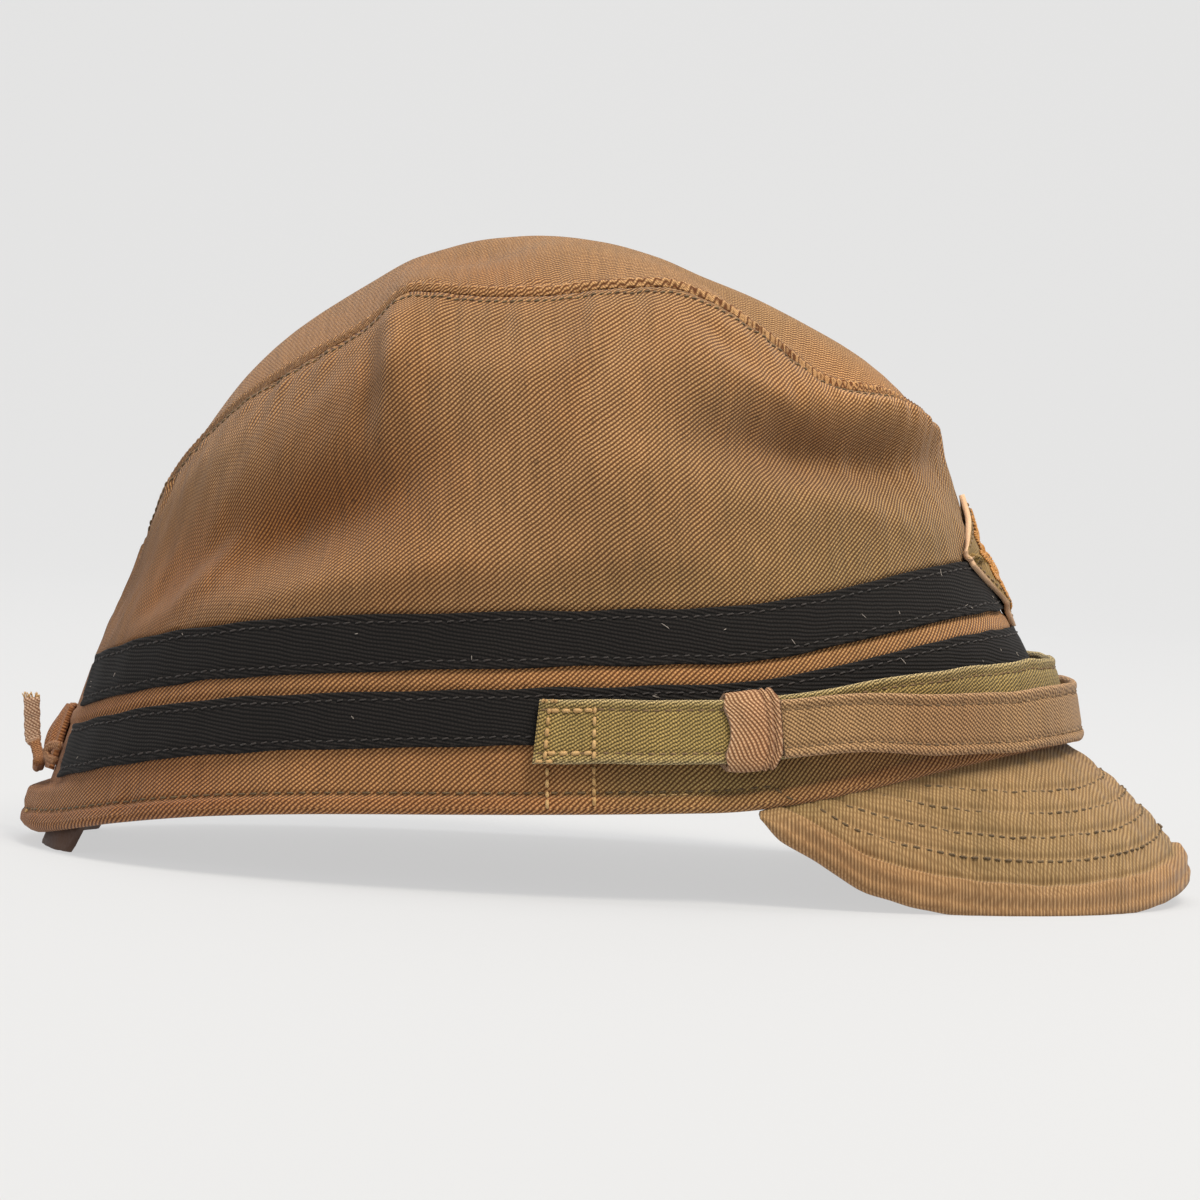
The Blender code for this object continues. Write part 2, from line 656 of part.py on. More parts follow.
def cord_point(row, thickness):
    """A point of a cord's middle line, from one row of its route."""
    from_rear = math.radians(row["round"])
    height = BAND_HEIGHT * row["height"]
    off = rear_cloth_off(from_rear, height) + GAP + thickness * row["lift"]
    return band_point(math.pi - from_rear, height, off)


def make_cord(name, route, thickness, finish):
    """A cord along its route, rounded out by a smooth curve through the route's points."""
    points = [cord_point(row, thickness) for row in route]
    knots = [{"at": i, "x": p[0], "y": p[1], "z": p[2]} for i, p in enumerate(points)]
    count = CORD_STEPS * (len(points) - 1) + 1
    curve = bpy.data.curves.new(name, "CURVE")
    curve.dimensions = "3D"
    curve.bevel_depth = thickness / 2
    curve.bevel_resolution = 2
    curve.use_fill_caps = True
    line = curve.splines.new("POLY")
    line.points.add(count - 1)
    for i in range(count):
        at = (len(points) - 1) * i / (count - 1)
        place = [read_curve(knots, "at", axis, at) for axis in ("x", "y", "z")]
        line.points[i].co = (*place, 1.0)
    return new_object(name, curve, finish)


def make_sweatband():
    """The inner band. Its lower edge hangs below the hem at the rear."""
    off = -(BAND_WALL + GAP)
    angles = [station(i) for i in range(-STATIONS // 2, STATIONS // 2)]
    rows = [[], [], []]
    for angle in angles:
        from_rear = math.pi - abs(angle)
        share = min(from_rear / SWEATBAND_DROOP_ANGLE, 1.0)
        droop = SWEATBAND_DROOP_CENTRE + (SWEATBAND_DROOP - SWEATBAND_DROOP_CENTRE) * share
        hanging_to = SWEATBAND_DROOP_ANGLE + SWEATBAND_DROOP_FADE
        behind = smooth_step((hanging_to - from_rear) / SWEATBAND_DROOP_FADE)
        lowest = SWEATBAND_SET_UP - (SWEATBAND_SET_UP + droop) * behind
        for row, share in zip(rows, (0.0, 0.4, 1.0)):
            row.append(band_point(angle, lowest + (SWEATBAND_HEIGHT - lowest) * share, off))
    give_wall(cloth_sheet("sweatband", rows, "dark_leather", closed=True), SWEATBAND_WALL)


def solid_mesh(piece, graph):
    """The mesh of a piece with its modifiers applied, welded where a cord's caps are loose."""
    mesh = bpy.data.meshes.new_from_object(piece.evaluated_get(graph))
    mesh.name = piece.name + "_solid"
    work = bmesh.new()
    work.from_mesh(mesh)
    bmesh.ops.remove_doubles(work, verts=work.verts, dist=1e-6)
    work.to_mesh(mesh)
    work.free()
    return mesh


def resting_turn(points):
    """The turn about Y that brings the lowest points ahead and behind to one level, and that level."""
    low = -0.3
    high = 0.3
    for _ in range(40):
        tilt = (low + high) / 2
        level = points[:, 2] * math.cos(tilt) + points[:, 0] * math.sin(tilt)
        if level[points[:, 0] > 0].min() < level[points[:, 0] < 0].min():
            low = tilt
        else:
            high = tilt
    return tilt, float(level.min())


def settle(pieces):
    """Turns all the pieces into the resting pose and flattens the cloth where it touches the surface."""
    graph = bpy.context.evaluated_depsgraph_get()
    meshes = {piece.name: solid_mesh(piece, graph) for piece in pieces}
    points = np.array([v.co for mesh in meshes.values() for v in mesh.vertices])
    tilt, lowest = resting_turn(points)
    turn = Matrix.Rotation(-tilt, 4, "Y")
    turned = points @ np.array(turn.to_3x3()).T
    middle = (turned.min(axis=0) + turned.max(axis=0)) / 2
    place = Matrix.Translation((-middle[0], -middle[1], -lowest - REST_FLAT)) @ turn
    for piece in list(pieces):
        mesh = meshes[piece.name]
        side = piece.get("centre_side", 0)
        for vert in mesh.vertices:
            if side and vert.co.y * side < GAP / 2:
                vert.co.y = side * GAP / 2
        mesh.transform(place)
        for vert in mesh.vertices:
            vert.co.z = max(vert.co.z, 0.0)
        replace_object(piece, mesh)


def replace_object(piece, mesh):
    """Puts a finished mesh in the place of the object that it was made from."""
    name = piece.name
    bpy.data.objects.remove(piece)
    made = bpy.data.objects.new(name, mesh)
    bpy.data.collections["field_cap"].objects.link(made)


def main():
    """Builds every piece in the cap's own frame and settles the cap into its resting pose."""
    for old in list(bpy.data.objects):
        bpy.data.objects.remove(old)
    cap = bpy.data.collections.new("field_cap")
    bpy.context.scene.collection.children.link(cap)
    make_headband()
    make_crown_side("crown_left", 1)
    make_crown_side("crown_right", -1)
    make_crown_top()
    make_tape("tape_upper", band_height)
    make_tape("tape_lower", lambda angle: band_height(angle) - TAPE_WIDTH - TAPE_GAP)
    make_peak()
    make_strap("strap_green", GREEN_ROUTE, GREEN_WIDTH, "green_cloth")
    make_strap("strap_tan", TAN_ROUTE, TAN_WIDTH, "tan_cloth")
    make_keeper("keeper_tan", -1, GREEN_ROUTE, GREEN_WIDTH, "tan_cloth")
    make_keeper("keeper_green", 1, TAN_ROUTE, TAN_WIDTH, "green_cloth")
    make_badge()
    make_rear_gusset()
    make_cord("rear_tie", TIE_ROUTE, TIE_THICK, "pale_tie")
    make_cord("rear_loop", LOOP_ROUTE, LOOP_THICK, "pale_tie")
    make_sweatband()
    bpy.context.view_layer.update()
    settle(list(cap.objects))


main()
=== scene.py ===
"""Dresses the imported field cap: soft twill crown, band, tapes, stitched peak, chin strap, patch and rear tie.

The cap is drawn in its own frame, as the part's source draws it: the origin is the centre of the head
opening at the level of the rim's sides, +X points out over the peak, -Y to the wearer's right and +Z up. An
angle round the cap runs from 0 at the front centre through 90 degrees at the wearer's left to 180 at the
rear. The mount head_opening of the record says where that frame lies once the cap rests on its peak and its
inner band. All sizes are in metres unless a name ends in _mm.
"""

import json
import logging
import math
from collections.abc import Callable, Sequence
from dataclasses import dataclass, field
from enum import Enum

import bmesh
import bpy
import numpy as np
from mathutils import Matrix, Vector


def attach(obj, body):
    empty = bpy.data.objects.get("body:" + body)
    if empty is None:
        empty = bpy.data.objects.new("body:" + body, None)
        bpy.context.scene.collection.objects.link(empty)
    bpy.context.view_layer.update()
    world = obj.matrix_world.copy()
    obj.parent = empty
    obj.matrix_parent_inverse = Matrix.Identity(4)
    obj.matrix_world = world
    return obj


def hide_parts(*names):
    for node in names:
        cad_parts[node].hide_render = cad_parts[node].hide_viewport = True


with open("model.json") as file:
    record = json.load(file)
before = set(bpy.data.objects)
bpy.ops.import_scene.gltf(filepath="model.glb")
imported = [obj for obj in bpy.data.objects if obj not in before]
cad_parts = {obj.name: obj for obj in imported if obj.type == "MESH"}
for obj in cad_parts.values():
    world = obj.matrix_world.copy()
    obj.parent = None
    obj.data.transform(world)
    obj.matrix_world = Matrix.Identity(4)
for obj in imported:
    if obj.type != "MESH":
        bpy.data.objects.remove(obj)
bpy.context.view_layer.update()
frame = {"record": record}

LOG = logging.getLogger("field_cap")
Array = np.ndarray
Surface = Callable[[Array, Array], Array]
Table = list[dict[str, float]]
Spot = tuple[float, float]
MM = 0.001


def table(columns: str, rows: Sequence[Sequence[float]]) -> Table:
    """Names the columns of a table's rows."""
    return [dict(zip(columns.split(), row, strict=True)) for row in rows]


# The top panel from its rear tip to its front tip. along is a share of half its length, seam and crest are
# heights as shares of the crown's height, and width is a share of half the panel's width, on an ellipse. The
# crest and the rear hem below are a little softer than those of the part's source.
TOP_PANEL = table("along seam crest width", [
    (-1.00, 0.446, 0.446, 0.62),
    (-0.93, 0.552, 0.556, 0.66),
    (-0.83, 0.636, 0.658, 0.74),
    (-0.74, 0.694, 0.736, 0.82),
    (-0.60, 0.758, 0.824, 0.92),
    (-0.42, 0.830, 0.903, 0.98),
    (-0.30, 0.894, 0.952, 1.00),
    (-0.10, 0.884, 0.994, 1.00),
    (0.00, 0.884, 1.002, 1.00),
    (0.15, 0.896, 0.988, 1.00),
    (0.30, 0.902, 0.963, 1.00),
    (0.42, 0.876, 0.925, 0.99),
    (0.56, 0.812, 0.879, 0.98),
    (0.72, 0.730, 0.813, 1.00),
    (0.86, 0.712, 0.750, 1.03),
    (1.00, 0.658, 0.658, 1.00),
])

# How far the rear hem, a side panel and the peak's edge follow their named sizes.
REAR_HEM = table("up out", [
    (0.00, 0.45),
    (0.13, 0.74),
    (0.30, 0.82),
    (0.52, 0.98),
    (0.74, 1.00),
    (0.88, 0.58),
    (1.00, 0.00),
])
SIDE_PROFILE = table("up out", [
    (0.00, 0.00),
    (0.20, 0.52),
    (0.45, 0.92),
    (0.70, 1.00),
    (0.90, 0.52),
    (1.00, 0.00),
])
PEAK_EDGE = table("turn drop", [
    (0.00, 0.77),
    (0.17, 0.87),
    (0.33, 0.96),
    (0.50, 1.00),
    (0.66, 0.94),
    (0.76, 0.83),
    (0.84, 0.68),
    (0.92, 0.36),
    (1.00, 0.03),
])

# Soft dents and folds. along is a share of half the panel's length, up a share of the crown's height and
# across a share of half the panel's width; long and wide are shares of the panel's length, rise and turn are
# degrees, and out and up are shares of the side's fullness or of the fold height, below 0 for a hollow.
SIDE_FOLDS = table("side along up long wide rise out", [
    (-1, -0.60, 0.49, 0.170, 0.055, 20, -0.55),
    (-1, -0.30, 0.36, 0.160, 0.060, 10, 0.28),
    (-1, 0.68, 0.61, 0.150, 0.042, -9, -0.62),
    (-1, 0.84, 0.69, 0.100, 0.036, -14, 0.40),
    (-1, -0.34, 0.79, 0.075, 0.024, 84, 0.26),
    (-1, 0.28, 0.66, 0.120, 0.090, 60, 0.24),
    (1, -0.52, 0.52, 0.150, 0.060, 28, -0.45),
    (1, 0.60, 0.62, 0.160, 0.045, -12, -0.50),
    (1, 0.82, 0.68, 0.100, 0.036, -12, 0.32),
    (1, 0.06, 0.58, 0.110, 0.080, 70, 0.22),
])
TOP_FOLDS = table("along across long wide turn up", [
    (0.60, -0.45, 0.150, 0.050, -12, -0.50),
    (0.66, 0.42, 0.140, 0.050, 14, -0.40),
    (-0.12, -0.30, 0.090, 0.060, 40, -0.30),
    (-0.50, 0.00, 0.160, 0.050, 0, 0.20),
])

# Finer creases of the side panels, in the same columns, too small for the solid.
SIDE_CREASES = table("side along up long wide rise out", [
    (-1, 0.46, 0.80, 0.070, 0.016, -42, -0.13),
    (-1, 0.60, 0.70, 0.080, 0.014, -36, 0.07),
    (-1, 0.12, 0.80, 0.080, 0.014, 70, 0.06),
    (-1, 0.20, 0.82, 0.060, 0.012, 64, -0.06),
    (-1, -0.08, 0.82, 0.050, 0.012, 100, -0.05),
    (-1, -0.40, 0.74, 0.075, 0.013, 86, -0.13),
    (-1, -0.48, 0.30, 0.120, 0.018, 24, -0.07),
    (-1, -0.86, 0.36, 0.110, 0.016, 46, 0.09),
    (-1, 0.78, 0.52, 0.090, 0.018, -22, 0.06),
    (1, 0.40, 0.80, 0.070, 0.016, -40, -0.12),
    (1, 0.02, 0.80, 0.070, 0.014, 74, -0.07),
    (1, -0.40, 0.72, 0.080, 0.016, 80, 0.09),
    (1, -0.82, 0.34, 0.110, 0.016, 40, 0.09),
])

# Both halves of the chin strap. round is the angle from the front centre in degrees, height the strap's
# middle as a share of the band's height, layer the number of strap thicknesses that it stands off and stand
# how many more of them its upper edge stands off where the strap hangs upright before the leaning band.
GREEN_ROUTE = table("round height layer stand", [
    (-91, 0.403, 0.0, 0.0),
    (-84, 0.400, 0.3, 0.0),
    (-77, 0.388, 1.0, 0.0),
    (-64, 0.380, 1.0, 0.0),
    (-56, 0.368, 0.8, 0.6),
    (-45, 0.332, 0.4, 2.2),
    (-30, 0.294, 0.0, 2.1),
    (0, 0.262, 0.0, 1.8),
    (30, 0.294, 0.0, 1.8),
    (45, 0.332, 0.0, 1.2),
    (58, 0.368, 0.0, 0.0),
    (65.0, 0.376, 0.0, 0.0),
])
TAN_ROUTE = table("round height layer stand", [
    (-65.0, 0.368, 2.0, 0.0),
    (-56, 0.325, 2.0, 0.9),
    (-45, 0.212, 1.4, 2.6),
    (-30, 0.140, 0.5, 2.8),
    (0, 0.119, 0.4, 2.6),
    (30, 0.140, 0.5, 2.6),
    (45, 0.215, 0.95, 2.0),
    (58, 0.360, 1.0, 0.0),
    (77, 0.388, 1.0, 0.0),
    (84, 0.400, 0.3, 0.0),
    (91, 0.403, 0.0, 0.0),
])

# The rear tie and the small loop beside it. round is the angle from the rear centre in degrees, height a
# share of the band's height and lift the number of the cord's own thicknesses from its middle to the cloth
# under it.
TIE_ROUTE = table("round height lift", [
    (9.0, 0.59, 4.90),
    (9.0, 0.41, 3.75),
    (8.2, 0.36, 2.25),
    (5.0, 0.31, 0.90),
    (1.0, 0.306, 0.45),
    (-5.0, 0.35, 0.50),
])
LOOP_ROUTE = table("round height lift", [
    (-13.0, 0.450, 0.50),
    (-11.0, 0.450, 1.10),
    (-9.4, 0.412, 1.50),
    (-11.0, 0.375, 1.10),
    (-13.0, 0.370, 0.50),
])

# Folds pressed into the keeper: how far each lies from its front edge, how far it stands out and its width.
KEEPER_RIDGES = table("place out wide", [
    (0.0008, 0.00040, 0.0007),
    (0.0019, -0.00035, 0.0004),
    (0.0028, 0.00026, 0.0005),
    (0.0036, -0.00022, 0.0004),
])

# Soft spots of colour. Most are cloth that has faded or taken up dirt; the rows marked below are painted shade
# in the hollows of folds, painted highlights on their ridges, and painted light over the strap's shadow on the
# band. along and up are millimetres in the cap's frame, long and wide the spot's radii in millimetres, rise its
# slope in degrees. light is darker below 0 and paler above it, and warm is greener below 0 and browner above
# it.
STAINS_AND_PAINTED_LIGHT = table("along up long wide rise light warm", [
    # Painted shade, darker and browner, in the long low hollow at the rear of the wearer's right side.
    (-48, 58, 32, 11, 20, -0.22, 0.55),
    (-80, 38, 26, 14, 40, -0.06, 0.55),
    # Painted shade in the upright crease hollow behind the middle of the right side.
    (-34, 78, 16, 30, 0, -0.14, 0.34),
    (-64, 80, 26, 8, 35, -0.05, 0.22),
    # Painted highlight on the low ridge of the right side.
    (-20, 44, 34, 9, 12, 0.06, 0.10),
    # Painted shade, and in the next row a painted highlight, on either side of a small crease near the seam.
    (8, 92, 14, 4, 78, -0.14, 0.10),
    (17, 94, 13, 4, 74, 0.12, -0.05),
    # Painted highlight on the broad ridge in the middle of the right side.
    (24, 78, 36, 20, 10, 0.10, -0.05),
    (66, 47, 36, 15, 8, 0.14, -0.50),
    (20, 42, 40, 8, 4, 0.00, -0.22),
    # Painted shade in the hollow below the seam towards the front, and in the next row a painted highlight on
    # the ridge above it.
    (60, 72, 24, 6, -8, -0.16, 0.15),
    (76, 82, 26, 9, -10, 0.46, 0.15),
    (-12, 109, 18, 7, 0, -0.12, 0.40),
    (50, 104, 26, 9, -30, 0.02, -0.25),
    (-92, 6, 30, 14, 0, -0.06, 0.40),
    # Painted light that lifts the strap's cast shadow off the band; the greener tint is the cloth's own.
    (52, 7, 36, 10, 8, 0.12, -0.45),
    (104, -8, 30, 18, -20, -0.02, -0.30),
    # More painted light over the strap's cast shadow on the band, with the cloth's own green tint.
    (34, 4, 26, 8, 0, 0.10, -0.55),
])


def smooth_step(value: Array | float) -> Array:
    """Rises smoothly from 0 to 1 as the value goes from 0 to 1."""
    share = np.clip(value, 0.0, 1.0)
    return share * share * (3.0 - 2.0 * share)


def bell(value: Array, width: float) -> Array:
    """Falls smoothly from 1 where the value is 0 to almost 0 where it is twice the width."""
    return np.exp(-((value / width) ** 2))


def read_curve(rows: Table, key: str, column: str, at: Array | float) -> Array:
    """Reads a smooth curve through one column of a table, which never runs past a row's value.

    Args:
        rows: The table.
        key: The column that the places are measured in.
        column: The column that is read.
        at: The places.

    Returns:
        The value at each place.
    """
    keys = np.array([row[key] for row in rows], float)
    values = np.array([row[column] for row in rows], float)
    steps = np.diff(values) / np.diff(keys)
    before = steps[:-1]
    after = steps[1:]
    same_way = before * after > 0
    middle = np.where(same_way, 2 * before * after / np.where(same_way, before + after, 1.0), 0.0)
    slopes = np.concatenate([steps[:1], middle, steps[-1:]])
    place = np.clip(at, keys[0], keys[-1])
    i = np.clip(np.searchsorted(keys, place) - 1, 0, len(keys) - 2)
    span = keys[i + 1] - keys[i]
    t = (place - keys[i]) / span
    start = (1 + 2 * t) * (1 - t) ** 2 * values[i] + t * (1 - t) ** 2 * span * slopes[i]
    end = t * t * (3 - 2 * t) * values[i + 1] + t * t * (t - 1) * span * slopes[i + 1]
    return start + end


def ripple(x: Array, y: Array, size: float, seed: int) -> Array:
    """Soft seeded unevenness between about -1 and 1, with waves of about the given size."""
    rng = np.random.default_rng(seed)
    total = np.zeros(np.broadcast(x, y).shape)
    count = 7
    for _ in range(count):
        turn = rng.uniform(0.0, math.tau)
        length = size * rng.uniform(0.7, 1.6)
        phase = rng.uniform(0.0, math.tau)
        total += np.sin(math.tau * (x * math.cos(turn) + y * math.sin(turn)) / length + phase)
    return total / math.sqrt(count) / 1.5


def unit(vectors: Array) -> Array:
    """Vectors brought to a length of 1."""
    return vectors / np.linalg.norm(vectors, axis=-1, keepdims=True)


def lay(vectors: Array, amounts: Array | float) -> Array:
    """Vectors times an amount each."""
    return vectors * np.asarray(amounts)[..., None]


class Side(Enum):
    """The two side panels of the crown."""

    RIGHT = -1
    LEFT = 1


@dataclass(frozen=True)
class CapShape:
    """The cap's outside in its own frame, with the sizes of the part's source."""

    rim_length: float = 0.2200
    rim_width: float = 0.1440
    rim_front_rise: float = 0.0100
    rim_rear_dip: float = 0.0090
    rim_egg: float = 0.04
    rim_ahead: float = 0.0020
    band_height_side: float = 0.0408
    band_height_front: float = 0.0424
    band_height_rear: float = 0.0384
    band_wall: float = 0.0024
    lean_front: float = math.radians(27.0)
    lean_side: float = math.radians(9.0)
    lean_rear: float = math.radians(20.0)
    rear_hem_bulge: float = 0.0040
    rear_hem_angle: float = math.radians(16.0)
    crown_height: float = 0.1174
    panel_length: float = 0.1680
    panel_width: float = 0.0860
    crown_wall: float = 0.0016
    fullness: float = 0.0075
    fold_height: float = 0.0075
    seam_rib: float = 0.0008
    dome_power: float = 1.9
    tape_width: float = 0.0115
    tape_gap: float = 0.0040
    tape_thick: float = 0.0008
    strap_thick: float = 0.0015
    gap: float = 0.0003

    @property
    def rear_hem_height(self) -> float:
        """The height of the rear hem's thick part, which reaches up to the lower tape."""
        return self.band_height_rear - 2 * self.tape_width - self.tape_gap

    def rim_point(self, angle: Array) -> Array:
        """Points of the rim, on the outside of the band."""
        ahead = np.cos(angle)
        rise = self.rim_front_rise * smooth_step((ahead - 0.3) / 0.7)
        dip = self.rim_rear_dip * np.maximum(-ahead, 0.0) ** 4
        x = self.rim_ahead + self.rim_length / 2 * ahead
        y = self.rim_width / 2 * np.sin(angle) * (1 - self.rim_egg * ahead)
        return np.stack([x, y, rise - dip], axis=-1)

    def outward(self, angle: Array) -> Array:
        """The level direction that points straight out of the cap."""
        x = np.cos(angle) / self.rim_length
        y = np.sin(angle) / self.rim_width
        return unit(np.stack([x, y, np.zeros_like(x)], axis=-1))

    def band_lean(self, angle: Array) -> Array:
        """How far the band leans in."""
        ahead = np.cos(angle)
        to_front = (self.lean_front - self.lean_side) * np.maximum(ahead, 0.0) ** 2
        to_rear = (self.lean_rear - self.lean_side) * np.maximum(-ahead, 0.0) ** 2
        return self.lean_side + to_front + to_rear

    def band_height(self, angle: Array) -> Array:
        """The height of the band along its cloth."""
        ahead = np.cos(angle)
        to_front = (self.band_height_front - self.band_height_side) * np.maximum(ahead, 0.0)
        to_rear = (self.band_height_rear - self.band_height_side) * np.maximum(-ahead, 0.0)
        return self.band_height_side + to_front + to_rear

    def band_axes(self, angle: Array) -> tuple[Array, Array]:
        """The direction up the band's cloth and the band's outward normal."""
        lean = self.band_lean(angle)
        level = self.outward(angle)
        upright = np.zeros_like(level)
        upright[..., 2] = 1.0
        up = lay(upright, np.cos(lean)) - lay(level, np.sin(lean))
        normal = lay(level, np.cos(lean)) + lay(upright, np.sin(lean))
        return up, normal

    def band_point(self, angle: Array, height: Array, off: Array | float = 0.0) -> Array:
        """Points on the band, at a height along its cloth and a distance off its outside."""
        up, normal = self.band_axes(angle)
        return self.rim_point(angle) + lay(up, height) + lay(normal, off)

    def rear_swell(self, angle: Array, height: Array) -> Array:
        """How far the thick rear hem stands out of the band's plain slope."""
        out = read_curve(REAR_HEM, "up", "out", height / self.rear_hem_height)
        return self.rear_hem_bulge * out * bell(math.pi - np.abs(angle), self.rear_hem_angle)

    def seam_point(self, angle: Array) -> Array:
        """Points of the seam between a side panel and the top panel."""
        along = np.cos(angle)
        half_width = self.panel_width / 2 * read_curve(TOP_PANEL, "along", "width", along)
        height = self.crown_height * read_curve(TOP_PANEL, "along", "seam", along)
        return np.stack([self.panel_length / 2 * along, half_width * np.sin(angle), height], axis=-1)

    def wall_line(self, angle: Array) -> tuple[Array, Array, Array]:
        """The line from the band's top edge to the seam: its start, its span and its outward normal."""
        start = self.band_point(angle, self.band_height(angle))
        span = self.seam_point(angle) - start
        rise = unit(span)
        level = self.outward(angle)
        return start, span, unit(level - lay(rise, np.sum(level * rise, axis=-1)))

    def fold(self, along: Array, up: Array, row: dict[str, float], turned: str) -> Array:
        """The share of a fold's height: a soft ridge or hollow, long one way and narrow the other."""
        angle = math.radians(row[turned])
        lengthwise = along * math.cos(angle) + up * math.sin(angle)
        crosswise = up * math.cos(angle) - along * math.sin(angle)
        reach = (lengthwise / (row["long"] * self.panel_length)) ** 2
        return np.exp(-reach - (crosswise / (row["wide"] * self.panel_length)) ** 2)

    def side_folds(self, point: Array, angle: Array, share: Array, rows: Table) -> Array:
        """How far the folds of a side panel move points out, fading away at the band and at the seam."""
        side = np.where(np.sin(angle) > 0, 1, -1)
        total = np.zeros(point.shape[:-1])
        for row in rows:
            along = point[..., 0] - row["along"] * self.panel_length / 2
            up = point[..., 2] - row["up"] * self.crown_height
            total += np.where(side == row["side"], row["out"] * self.fold(along, up, row, "rise"), 0.0)
        at_edges = smooth_step(share / 0.15) * smooth_step((1 - share) / 0.12)
        return self.fullness * total * at_edges * smooth_step(np.abs(np.sin(angle)) / 0.3)

    def crown_side(self, angle: Array, share: Array) -> tuple[Array, Array]:
        """Points on the outside of a side panel, share of the way from the band to the seam.

        Args:
            angle: The angle of each point round the cap.
            share: 0 at the band and 1 at the seam.

        Returns:
            The points and the panel's outward normals.
        """
        start, span, normal = self.wall_line(angle)
        fullness = self.fullness * read_curve(SIDE_PROFILE, "up", "out", share)
        point = start + lay(span, share) + lay(normal, fullness * np.sin(angle) ** 2)
        return point + lay(normal, self.side_folds(point, angle, share, SIDE_FOLDS)), normal

    def skin_point(self, angle: Array, height: Array, off: Array | float = 0.0) -> Array:
        """Points on the outside of the band or, above the band, of the crown."""
        above = height - self.band_height(angle)
        _, span, _ = self.wall_line(angle)
        share = np.clip(above / np.linalg.norm(span, axis=-1), 0.0, 1.0)
        crown, normal = self.crown_side(angle, share)
        on_band = self.band_point(angle, height, off)
        return np.where((above > 0)[..., None], crown + lay(normal, off), on_band)

    def top_point(self, angle: Array, across: Array) -> Array:
        """Points on the outside of the top panel: across runs from -1 at one seam to 1 at the other."""
        edge = self.seam_point(angle)
        crest = self.crown_height * read_curve(TOP_PANEL, "along", "crest", np.cos(angle))
        height = crest - (crest - edge[..., 2]) * np.abs(across) ** self.dome_power
        fold = np.zeros(height.shape)
        for row in TOP_FOLDS:
            ahead = edge[..., 0] - row["along"] * self.panel_length / 2
            aside = edge[..., 1] * across - row["across"] * self.panel_width / 2
            fold += row["up"] * self.fold(ahead, aside, row, "turn")
        fade = smooth_step((1 - np.abs(across)) / 0.2)
        height = height + self.fold_height * fold * fade
        return np.stack([edge[..., 0], edge[..., 1] * across, height], axis=-1)

    def band_stack(self, layers: Array | float) -> Array | float:
        """The distance off the band at which a strap lies that has this many strap thicknesses under it."""
        return 2 * self.gap + self.tape_thick + layers * (self.strap_thick + self.gap)

    def tone(self, point: Array) -> Array:
        """The cloth's fading and dirt, with painted shade and highlights on some folds, at points of the cap:
        light and warm, both 0 where it is even.
        """
        tone = np.zeros((*point.shape[:-1], 3))
        for row in STAINS_AND_PAINTED_LIGHT:
            along = point[..., 0] - row["along"] * MM
            up = point[..., 2] - row["up"] * MM
            angle = math.radians(row["rise"])
            lengthwise = (along * math.cos(angle) + up * math.sin(angle)) / (row["long"] * MM)
            crosswise = (up * math.cos(angle) - along * math.sin(angle)) / (row["wide"] * MM)
            amount = np.exp(-(lengthwise**2) - crosswise**2)
            tone[..., 0] += row["light"] * amount
            tone[..., 1] += row["warm"] * amount
        tone[..., 0] += 0.10 * ripple(point[..., 0] + point[..., 1], point[..., 2], 0.045, 11)
        tone[..., 1] += 0.10 * ripple(point[..., 0] - point[..., 1], point[..., 2], 0.060, 12)
        return tone


def cap_matrix() -> Matrix:
    """The cap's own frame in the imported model, from the mount in the head opening."""
    mount = next(m for m in frame["record"]["mounts"] if m["name"] == "head_opening")
    up = -Vector(mount["axis"]).normalized()
    left = Vector((0.0, 1.0, 0.0))
    ahead = left.cross(up).normalized()
    placed = Matrix((ahead, left, up)).transposed().to_4x4()
    placed.translation = Vector(mount["pos_m"])
    return placed


CAP_MATRIX = cap_matrix()


def to_row(points: Array) -> Array:
    """Brings points from the cap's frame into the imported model's, where the cloth flattens as it rests."""
    matrix = np.array(CAP_MATRIX)
    placed = points @ matrix[:3, :3].T + matrix[:3, 3]
    placed[..., 2] = np.maximum(placed[..., 2], 0.0)
    return placed


def linear(colour: str) -> tuple[float, float, float, float]:
    """Turns an sRGB hex colour into a linear one with full alpha."""
    parts = [int(colour[i : i + 2], 16) / 255 for i in (1, 3, 5)]
    return (*[p / 12.92 if p <= 0.04045 else ((p + 0.055) / 1.055) ** 2.4 for p in parts], 1.0)


def fill_inputs(tree: bpy.types.NodeTree, node: bpy.types.Node, inputs: dict) -> None:
    """Links each socket, or sets each value, at the node's input that its key names."""
    for key, value in inputs.items():
        if isinstance(value, bpy.types.NodeSocket):
            tree.links.new(value, node.inputs[key])
        else:
            node.inputs[key].default_value = value


def add_node(tree: bpy.types.NodeTree, kind: str, inputs: dict | None = None, **settings) -> bpy.types.Node:
    """Adds a shader node.

    Args:
        tree: The node tree.
        kind: The node's type name after "ShaderNode".
        inputs: What goes into each input, by name or number: an output socket to link, or a value to set.
        **settings: The node's own properties.

    Returns:
        The new node.
    """
    node = tree.nodes.new("ShaderNode" + kind)
    for key, value in settings.items():
        setattr(node, key, value)
    fill_inputs(tree, node, inputs or {})
    return node


def calc(tree: bpy.types.NodeTree, operation: str, *values) -> bpy.types.NodeSocket:
    """Adds a Math node on sockets or numbers and returns its result."""
    return add_node(tree, "Math", dict(enumerate(values)), operation=operation).outputs[0]


def ramp(tree: bpy.types.NodeTree, *values, **settings) -> bpy.types.NodeSocket:
    """Adds a Map Range node on a value, the range it comes in and the range it goes to."""
    return add_node(tree, "MapRange", dict(enumerate(values)), **settings).outputs[0]


